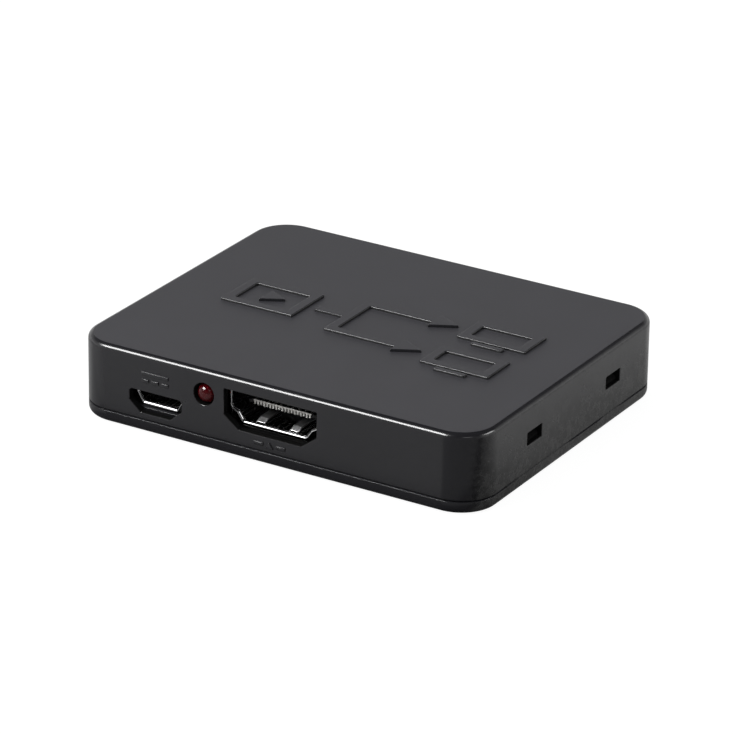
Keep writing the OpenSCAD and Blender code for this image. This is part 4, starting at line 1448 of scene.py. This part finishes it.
def finger_path(sockets, up):
    """A spring finger's path back and up: a ramp, a shallow bow, and a tip that comes back."""
    root_z = (sockets.height + sockets.sheet) / 2
    ramp_length, bend = 0.85 * MM, 0.25 * MM
    root_reach = 0.4 * sockets.finger
    ramp = ramp_length / sockets.finger_length
    stops = [(0.0, 0.0), (0.04, 0.22), (ramp, 0.96), (0.45, 1.0), (0.7, 1.0), (1.0, 0.65)]
    corners = [
        Vector((sockets.finger_root + t * sockets.finger_length, sunk * -sockets.finger_bow))
        for t, sunk in stops
    ]
    corners.insert(0, Vector((sockets.finger_root - root_reach, 0)))
    path = bent(corners, bend, SMALL_BEND_STEPS)
    return [Vector((point.x, up * (root_z + point.y))) for point in path]


def make_video_springs(settings, name, place):
    """A video socket's upper and lower pairs of spring fingers, each on its own body."""
    sockets = settings.sockets
    softness = 0.04 * MM
    for side, up in (("upper", 1), ("lower", -1)):
        node = f"{name}_{side}_springs"
        bm = bmesh.new()
        for hand in (-1, 1):
            x = hand * sockets.finger_pitch / 2
            add_strip(bm, finger_path(sockets, up), x, sockets.finger_width, sockets.finger, place)
        springs = new_object(f"{name}_socket_{side}_fingers", bm)
        soften(springs, softness)
        finish(springs, spring_metal(settings), node, "spring_steel", node)


def make_video_sockets(settings):
    """The three video sockets."""
    for name, place in video_places():
        make_video_shell(settings, name, place)
        make_video_insulator(settings, name, place)
        make_video_contacts(settings, name, place)
        make_video_springs(settings, name, place)


def make_power_shell(settings, place):
    """The power socket's folded sleeve and its four legs."""
    power = settings.power
    front_leg, rear_leg = 2.4 * MM, 0.9 * MM
    softness = 0.03 * MM
    bm = bmesh.new()
    add_sleeve(bm, power, *power_section(power), opened)
    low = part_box("power_shell")[0].z - place.translation.z
    add_legs(bm, power, low, (front_leg, power.depth - rear_leg))
    shell = new_object("power_socket_shell", bm)
    soften(shell, softness, limit=50)
    shell.data.transform(place)
    finish(shell, socket_metal(settings), "case", "socket_steel", "power_shell")


def make_power_insulator(settings, place):
    """The block that closes the power socket, and its tongue."""
    power = settings.power
    sunk = 0.2 * MM
    softness = 0.08 * MM
    block_y = power.depth - power.block
    bm = bmesh.new()
    block = rounded(grown(socket_section(power), -FIT), power.bend)
    add_skin(bm, [at_depth(block, block_y), at_depth(block, power.depth)])
    half_w, half_t = power.tongue_width / 2, power.tongue / 2
    low = (-half_w, power.tongue_inset, power.tongue_rise - half_t)
    high = (half_w, block_y + sunk, power.tongue_rise + half_t)
    add_block(bm, low, high)
    insulator = new_object("power_socket_insulator", bm)
    soften(insulator, softness)
    insulator.data.transform(place)
    finish(insulator, insulator_plastic(), "case", "insulator_black", "power_insulator")


def make_power_contacts(settings, place):
    """The row of contacts under the power socket's tongue."""
    power, sockets = settings.power, settings.sockets
    tip_inset = 0.3 * MM
    material = contact_plating(settings)
    z = power.tongue_rise - (power.tongue + sockets.contact) / 2
    foot_z = BOARD_TOP - place.translation.z + sockets.contact / 2
    tip = [(power.tongue_inset + tip_inset, z)]
    template = contact_template(sockets, tip, z, power.depth, foot_z)
    row = row_of(template, power.contacts, power.contact_pitch, material, place)
    contacts = new_object("power_socket_contacts", merged([row]))
    soften(contacts, CONTACT_SOFTNESS, 1)
    finish(contacts, material, "case", "contact_plating", "power_contacts")


def make_power_socket(settings):
    """The power socket."""
    place = power_place()
    make_power_shell(settings, place)
    make_power_insulator(settings, place)
    make_power_contacts(settings, place)


# The lamp


def make_lamp(settings):
    """The lens with its dome and flange, and the two leads with their plates inside it."""
    lamp = settings.lamp
    lens_softness, lead_softness = 0.1 * MM, 0.06 * MM
    plate_depth = 0.7 * MM
    plate_half = 0.8 * lamp.lead / 2
    bend = lamp.lead * 0.6
    low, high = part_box("lamp_lens")
    place = lamp_place()
    radius = lamp.lens / 2
    whole = high.y - low.y
    flange = (high.x - low.x) / 2
    dome = [math.pi / 2 * k / EDGE_STEPS for k in range(EDGE_STEPS)]
    profile = [(0, 0), (flange, 0), (flange, lamp.flange), (radius, lamp.flange)]
    profile += [(radius * math.cos(a), whole - radius + radius * math.sin(a)) for a in dome]
    bm = bmesh.new()
    add_lathe(bm, profile + [(0, whole)], place, LENS_STEPS)
    lens = new_object("lamp_bulb", bm)
    soften(lens, lens_softness, 3)
    finish(lens, kept("lamp_resin", red_resin, tuple(lamp.red)), "case", "lamp_red", "lamp_lens")
    lead_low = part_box("lamp_leads")[0].z
    middle = place.translation
    bend_y = high.y + lamp.lead_bend
    start = high.y - plate_depth
    path = flat((start, middle.z), (bend_y, middle.z), (bend_y, lead_low))
    bm = bmesh.new()
    for side in (-1, 1):
        x = middle.x + side * lamp.lead_pitch / 2
        add_strip(bm, bent(path, bend), x, lamp.lead, lamp.lead)
    anvil = flat(
        (-1.5, 0.7),
        (-1.5, 0.3),
        (-0.95, -0.4),
        (-0.95, -2.0),
        (0.25, -2.0),
        (0.25, -1.3),
        (-0.4, -0.9),
        (-0.4, 0.7),
    )
    post = flat(
        (0.55, 0.3),
        (0.55, -1.9),
        (0.95, -1.9),
        (0.95, 0.2),
        (1.5, 0.3),
        (1.5, 0.7),
        (0.9, 0.7),
    )
    for outline in (anvil, post):
        points = [Vector((middle.x + p.x * MM, start + p.y * MM)) for p in outline]
        add_raised(bm, points, middle.z - plate_half, middle.z + plate_half)
    leads = new_object("lamp_wires", bm)
    soften(leads, lead_softness)
    finish(leads, tinned_metal(), "case", "tinned_metal", "lamp_leads")


# The board and its parts


def lead_template(rise, thickness, width, out):
    """A bent lead from a chip's side: a shoulder, a slope and a foot."""
    shoulder, heel, foot_z = 0.36 * out, 0.53 * out, thickness / 2
    bend = thickness * 0.8
    corners = flat((0, rise), (shoulder, rise), (heel, foot_z), (out, foot_z))
    bm = bmesh.new()
    add_strip(bm, bent(corners, bend, SMALL_BEND_STEPS), 0, width, thickness)
    return new_object("lead", bm)


def make_leads(name, node, chip, rows):
    """The leads of a chip, in rows of (turn, side, count, pitch, width, reach).

    Turns are in degrees and lengths in millimetres.
    """
    low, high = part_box(chip)
    middle = (low + high) / 2
    thickness = 0.15 * MM
    rise = 0.6 * MM + thickness / 2
    softness = 0.02 * MM
    place = Matrix.Translation((middle.x, middle.y, BOARD_TOP))
    material = tinned_metal()
    meshes = []
    for turn, side, count, pitch, width, reach in rows:
        template = lead_template(rise, thickness, width * MM, reach * MM)
        shift = Matrix.Translation((0, side * MM, 0))
        spot = place @ Matrix.Rotation(math.radians(turn), 4, "Z") @ shift
        meshes.append(row_of(template, count, pitch * MM, material, spot))
    leads = new_object(name, merged(meshes))
    soften(leads, softness, 1)
    finish(leads, material, "case", "tinned_metal", node)


def make_board():
    """The circuit board."""
    softness = 0.05 * MM
    mask = kept("solder_mask", solder_mask)
    dress("circuit_board", "main_board", mask, "board_black", softness)


def make_board_parts(settings):
    """The parts on the board, each with the rounding of its edges in millimetres."""
    resin = kept("chip_resin", plain_plastic, (0.016, 0.016, 0.017), 0.45, 0.6, 6000)
    ceramic = kept("ceramic", plain_plastic, (0.36, 0.23, 0.12), 0.4, 0.6, 4000)
    ferrite = kept("ferrite", plain_plastic, (0.035, 0.035, 0.037), 0.6, 0.8, 5000)
    aluminium = kept("can_metal", plated_sheet, (0.7, 0.7, 0.71), 0.2, 0.3)
    black, tin, steel = insulator_plastic(), tinned_metal(), socket_metal(settings)
    for node, name, material, slot, softness in (
        ("splitter_chip", "splitter_chip_body", resin, "chip_black", 0.08),
        ("memory_chip", "memory_chip_body", resin, "chip_black", 0.1),
        ("regulator", "regulator_body", resin, "chip_black", 0.12),
        ("surge_protectors", "surge_protector_bodies", resin, "chip_black", 0.08),
        ("chip_resistors", "resistor_bodies", black, "insulator_black", 0.04),
        ("chip_capacitors", "capacitor_bodies", ceramic, "ceramic_tan", 0.06),
        ("chip_ends", "soldered_ends", tin, "tinned_metal", 0.06),
        ("crystal", "crystal_can", steel, "socket_steel", 0.25),
        ("capacitor_can", "capacitor_cylinder", aluminium, "can_aluminium", 0.2),
        ("capacitor_base", "capacitor_seat", black, "insulator_black", 0.1),
        ("power_inductor", "inductor_block", ferrite, "ferrite_grey", 0.15),
    ):
        dress(node, name, material, slot, softness * MM)
    sides = [(turn, 5.0, 16, 0.5, 0.22, 1.0) for turn in (0, 90, 180, 270)]
    make_leads("splitter_chip_legs", "splitter_chip_leads", "splitter_chip", sides)
    sides = [(turn, 1.95, 4, 1.27, 0.4, 1.0) for turn in (0, 180)]
    make_leads("memory_chip_legs", "memory_chip_leads", "memory_chip", sides)
    sides = [(0, 1.75, 1, 1.0, 3.0, 1.6), (180, 1.75, 3, 2.3, 0.7, 1.6)]
    make_leads("regulator_legs", "regulator_leads", "regulator", sides)


# The stage


def make_world(stage):
    """Soft light all round; in mirrors a white backdrop, dark overhead and near the camera."""
    toward_camera = (0.42, -0.91, 0)
    beside, before = 0.1, 0.85
    horizon, higher = 0.05, 0.42
    below_overhead, overhead_from = 0.44, 0.54
    world = bpy.data.worlds.new("studio")
    bpy.context.scene.world = world
    world.use_nodes = True
    sky = Nodes(world.node_tree)
    sky.tree.nodes.clear()
    path = sky.node("ShaderNodeLightPath").outputs
    direction = sky.node("ShaderNodeTexCoord").outputs["Generated"]
    height = sky.along(direction, (0, 0, 1))
    nearness = sky.along(direction, toward_camera)
    level = sky.span(nearness, beside, before, stage.backdrop, stage.near_side)
    upper = sky.span(height, horizon, higher, 1.0, stage.upper)
    overhead = sky.span(height, below_overhead, overhead_from, 1.0, stage.overhead)
    backdrop = sky.math("MULTIPLY", level, sky.math("MULTIPLY", upper, overhead))
    in_mirrors = sky.math("MAXIMUM", path["Is Glossy Ray"], path["Is Transmission Ray"])
    mirrored_part = sky.math("MULTIPLY", in_mirrors, backdrop)
    direct = sky.math("MAXIMUM", path["Is Camera Ray"], in_mirrors)
    seen = sky.math("MAXIMUM", path["Is Camera Ray"], mirrored_part)
    unseen = sky.math("SUBTRACT", 1.0, direct)
    total = sky.math("MULTIPLY_ADD", unseen, stage.ambient, seen)
    background = sky.node("ShaderNodeBackground")
    background.inputs["Color"].default_value = (1, 1, 1, 1)
    output = sky.node("ShaderNodeOutputWorld")
    sky.link(total, background.inputs["Strength"])
    sky.link(background.outputs[0], output.inputs["Surface"])


def floor_tint_with_painted_shade(nodes, settings):
    """The floor's tint: bright beside the case, with painted shade in front and by the near
    corner, and a painted contact shadow along the front's foot.
    """
    stage = settings.stage
    front_y, side_y = -28 * MM, -2 * MM
    foot_half, foot_end = 1.8 * MM, 3.6 * MM
    left_end, left_start, left_part = -34 * MM, -29 * MM, 0.8
    slant, blur = 0.35, 1 * MM
    place = nodes.node("ShaderNodeTexCoord").outputs["Object"]
    y = nodes.along(place, (0, 1, 0))
    # Painted shade: darker towards the near corner and in front of the case.
    side = nodes.span(y, front_y, side_y, stage.near_corner_painted_shade, stage.floor_side)
    past_corner = nodes.along(place, (math.cos(slant), -math.sin(slant), 0))
    corner_x = HALF_W - settings.case.corner
    edge = corner_x * math.cos(slant) + HALF_D * math.sin(slant)
    front = nodes.span(past_corner, edge - blur, edge + blur, stage.front_painted_shade, 0.0)
    # Painted contact shadow along the front's foot, lifted towards the left end.
    from_foot = nodes.math("ABSOLUTE", nodes.math("SUBTRACT", y, front_y))
    foot = nodes.span(from_foot, foot_half, foot_end, stage.foot_painted_shadow, 1.0)
    left = nodes.span(nodes.along(place, (1, 0, 0)), left_end, left_start, left_part, 0.0)
    tint = nodes.math("MAXIMUM", side, front)
    return nodes.math("MULTIPLY", tint, nodes.math("MAXIMUM", foot, left))


def make_floor(settings):
    """A white floor that shows the camera its own glow and a faint shadow."""
    stage = settings.stage
    half_width = 2.0
    below = -0.02 * MM
    material = bpy.data.materials.new("studio_floor")
    material.use_nodes = True
    nodes = Nodes(material.node_tree)
    nodes.tree.nodes.clear()
    path = nodes.node("ShaderNodeLightPath").outputs
    lit = nodes.node("ShaderNodeBsdfDiffuse")
    # The floor that the case mirrors carries the painted shade and painted shadow of the tint.
    nodes.link(floor_tint_with_painted_shade(nodes, settings), lit.inputs["Color"])
    shaded = nodes.node("ShaderNodeBsdfDiffuse")
    shaded.inputs["Color"].default_value = (*[stage.floor_shade] * 3, 1.0)
    glow = nodes.node("ShaderNodeEmission")
    glow.inputs["Strength"].default_value = stage.floor_glow
    bright = nodes.node("ShaderNodeAddShader")
    nodes.link(shaded.outputs[0], bright.inputs[0])
    nodes.link(glow.outputs[0], bright.inputs[1])
    mix = nodes.node("ShaderNodeMixShader")
    nodes.link(path["Is Camera Ray"], mix.inputs[0])
    nodes.link(lit.outputs[0], mix.inputs[1])
    nodes.link(bright.outputs[0], mix.inputs[2])
    output = nodes.node("ShaderNodeOutputMaterial")
    nodes.link(mix.outputs[0], output.inputs["Surface"])
    bm = bmesh.new()
    corners = rectangle(2 * half_width, 2 * half_width)
    bm.faces.new([bm.verts.new(point) for point in at_height(corners, below)])
    floor = new_object("studio_floor", bm)
    floor.data.materials.append(material)


def add_light(name, toward, radiance, width, height, distance=0.62, in_diffuse=False):
    """A soft light in the given direction from the object, facing it."""
    light = bpy.data.lights.new(name, "AREA")
    light.shape = "RECTANGLE"
    light.size = width
    light.size_y = height
    light.energy = radiance * width * height * math.pi
    lamp = bpy.data.objects.new(name, light)
    bpy.context.scene.collection.objects.link(lamp)
    direction = Vector(toward).normalized()
    lamp.location = direction * distance
    lamp.rotation_euler = direction.to_track_quat("Z", "Y").to_euler()
    lamp.visible_diffuse = in_diffuse
    return lamp


def keep_off(lamp, pieces):
    """Keeps a light off some pieces."""
    left_out = bpy.data.collections.new(lamp.name + "_left_out")
    lamp.light_linking.receiver_collection = left_out
    for piece in pieces:
        left_out.objects.link(piece)
    for entry in left_out.collection_objects:
        entry.light_linking.link_state = "EXCLUDE"


def make_camera(settings):
    """The camera where the photograph was taken."""
    stage = settings.stage
    a, e = stage.azimuth, stage.elevation
    back = Vector((math.sin(a) * math.cos(e), -math.cos(a) * math.cos(e), math.sin(e)))
    right = Vector((math.cos(a), math.sin(a), 0))
    turn = Matrix.Rotation(stage.roll, 3, back)
    right = turn @ right
    up = back.cross(right)
    middle = Vector((0, 0, (COVER_HIGH.z - settings.marks.roof_height) / 2))
    camera = bpy.data.cameras.new("photo_camera")
    camera.lens = stage.lens
    camera.clip_start = 0.01
    camera.clip_end = 20.0
    holder = bpy.data.objects.new("photo_camera", camera)
    bpy.context.scene.collection.objects.link(holder)
    spot = middle + right * stage.aim_right + up * stage.aim_up + back * stage.distance
    turned = Matrix((right, up, back)).transposed().to_4x4()
    holder.matrix_world = Matrix.Translation(spot) @ turned
    bpy.context.scene.camera = holder


def make_stage(settings):
    """The surround, the floor, the lights and the camera."""
    stage = settings.stage
    from_left = (-0.471, -0.63, 0.63)
    from_right = (0.797, 0.338, 0.5)
    by_camera = (0.644, -0.579, 0.5)
    bpy.context.scene.view_settings.view_transform = "Standard"
    make_world(stage)
    make_floor(settings)
    key_size, strip_size = (0.3, 0.2), (0.4, 0.18)
    side_size, front_size = (0.31, 0.12), (0.24, 0.09)
    add_light("key_light", from_left, stage.key, *key_size, distance=0.6, in_diffuse=True)
    edge_strip = add_light("edge_strip", from_left, stage.strip, *strip_size)
    shells = [name + "_socket_shell" for name in (*VIDEO_SOCKETS, "power")]
    keep_off(edge_strip, [bpy.data.objects[name] for name in shells])
    add_light("side_strip", from_right, stage.side_strip, *side_size)
    add_light("front_strip", by_camera, stage.front_strip, *front_size)
    make_camera(settings)


# The add-on


class SPLITTER_OT_top_cover(bpy.types.Operator):
    """Build the top cover with its openings and posts"""

    bl_idname = "splitter.top_cover"
    bl_label = "Top cover"

    def execute(self, context):
        make_top_cover(context.scene.splitter)
        return {"FINISHED"}


class SPLITTER_OT_marks(bpy.types.Operator):
    """Build the raised marks on the roof, the front and the back"""

    bl_idname = "splitter.marks"
    bl_label = "Raised marks"

    def execute(self, context):
        make_roof_mark(context.scene.splitter)
        make_face_marks(context.scene.splitter)
        return {"FINISHED"}


class SPLITTER_OT_bottom_cover(bpy.types.Operator):
    """Build the bottom cover with its lip, seats and posts"""

    bl_idname = "splitter.bottom_cover"
    bl_label = "Bottom cover"

    def execute(self, context):
        make_bottom_cover(context.scene.splitter)
        return {"FINISHED"}


class SPLITTER_OT_hooks(bpy.types.Operator):
    """Build the four snap hooks"""

    bl_idname = "splitter.hooks"
    bl_label = "Snap hooks"

    def execute(self, context):
        make_hooks(context.scene.splitter)
        return {"FINISHED"}


class SPLITTER_OT_video_sockets(bpy.types.Operator):
    """Build the three video sockets"""

    bl_idname = "splitter.video_sockets"
    bl_label = "Video sockets"

    def execute(self, context):
        make_video_sockets(context.scene.splitter)
        return {"FINISHED"}


class SPLITTER_OT_power_socket(bpy.types.Operator):
    """Build the power socket"""

    bl_idname = "splitter.power_socket"
    bl_label = "Power socket"

    def execute(self, context):
        make_power_socket(context.scene.splitter)
        return {"FINISHED"}


class SPLITTER_OT_lamp(bpy.types.Operator):
    """Build the lamp and its leads"""

    bl_idname = "splitter.lamp"
    bl_label = "Lamp"

    def execute(self, context):
        make_lamp(context.scene.splitter)
        return {"FINISHED"}


class SPLITTER_OT_board(bpy.types.Operator):
    """Build the circuit board"""

    bl_idname = "splitter.board"
    bl_label = "Circuit board"

    def execute(self, context):
        make_board()
        return {"FINISHED"}


class SPLITTER_OT_board_parts(bpy.types.Operator):
    """Build the parts on the circuit board"""

    bl_idname = "splitter.board_parts"
    bl_label = "Board parts"

    def execute(self, context):
        make_board_parts(context.scene.splitter)
        return {"FINISHED"}


class SPLITTER_OT_stage(bpy.types.Operator):
    """Set up the surround, the floor, the lights and the camera round the finished pieces"""

    bl_idname = "splitter.stage"
    bl_label = "Stage"

    def execute(self, context):
        make_stage(context.scene.splitter)
        return {"FINISHED"}


OPERATORS = (
    SPLITTER_OT_top_cover,
    SPLITTER_OT_marks,
    SPLITTER_OT_bottom_cover,
    SPLITTER_OT_hooks,
    SPLITTER_OT_video_sockets,
    SPLITTER_OT_power_socket,
    SPLITTER_OT_lamp,
    SPLITTER_OT_board,
    SPLITTER_OT_board_parts,
    SPLITTER_OT_stage,
)


class SPLITTER_PT_panel(bpy.types.Panel):
    """Lists the steps that build the splitter"""

    bl_idname = "SPLITTER_PT_panel"
    bl_label = "Video splitter"
    bl_space_type = "VIEW_3D"
    bl_region_type = "UI"
    bl_category = "Splitter"

    def draw(self, context):
        for operator in OPERATORS:
            self.layout.operator(operator.bl_idname)


CLASSES = (
    SplitterCase,
    SplitterMarks,
    SplitterHooks,
    SplitterSockets,
    SplitterPower,
    SplitterLamp,
    SplitterStage,
    SplitterSettings,
    *OPERATORS,
    SPLITTER_PT_panel,
)


def register():
    for cls in CLASSES:
        bpy.utils.register_class(cls)
    bpy.types.Scene.splitter = PointerProperty(type=SplitterSettings)


def unregister():
    del bpy.types.Scene.splitter
    for cls in reversed(CLASSES):
        bpy.utils.unregister_class(cls)


def main():
    register()
    bpy.ops.splitter.top_cover()
    bpy.ops.splitter.marks()
    bpy.ops.splitter.bottom_cover()
    bpy.ops.splitter.hooks()
    bpy.ops.splitter.video_sockets()
    bpy.ops.splitter.power_socket()
    bpy.ops.splitter.lamp()
    bpy.ops.splitter.board()
    bpy.ops.splitter.board_parts()
    bpy.ops.splitter.stage()


if __name__ == "__main__":
    main()
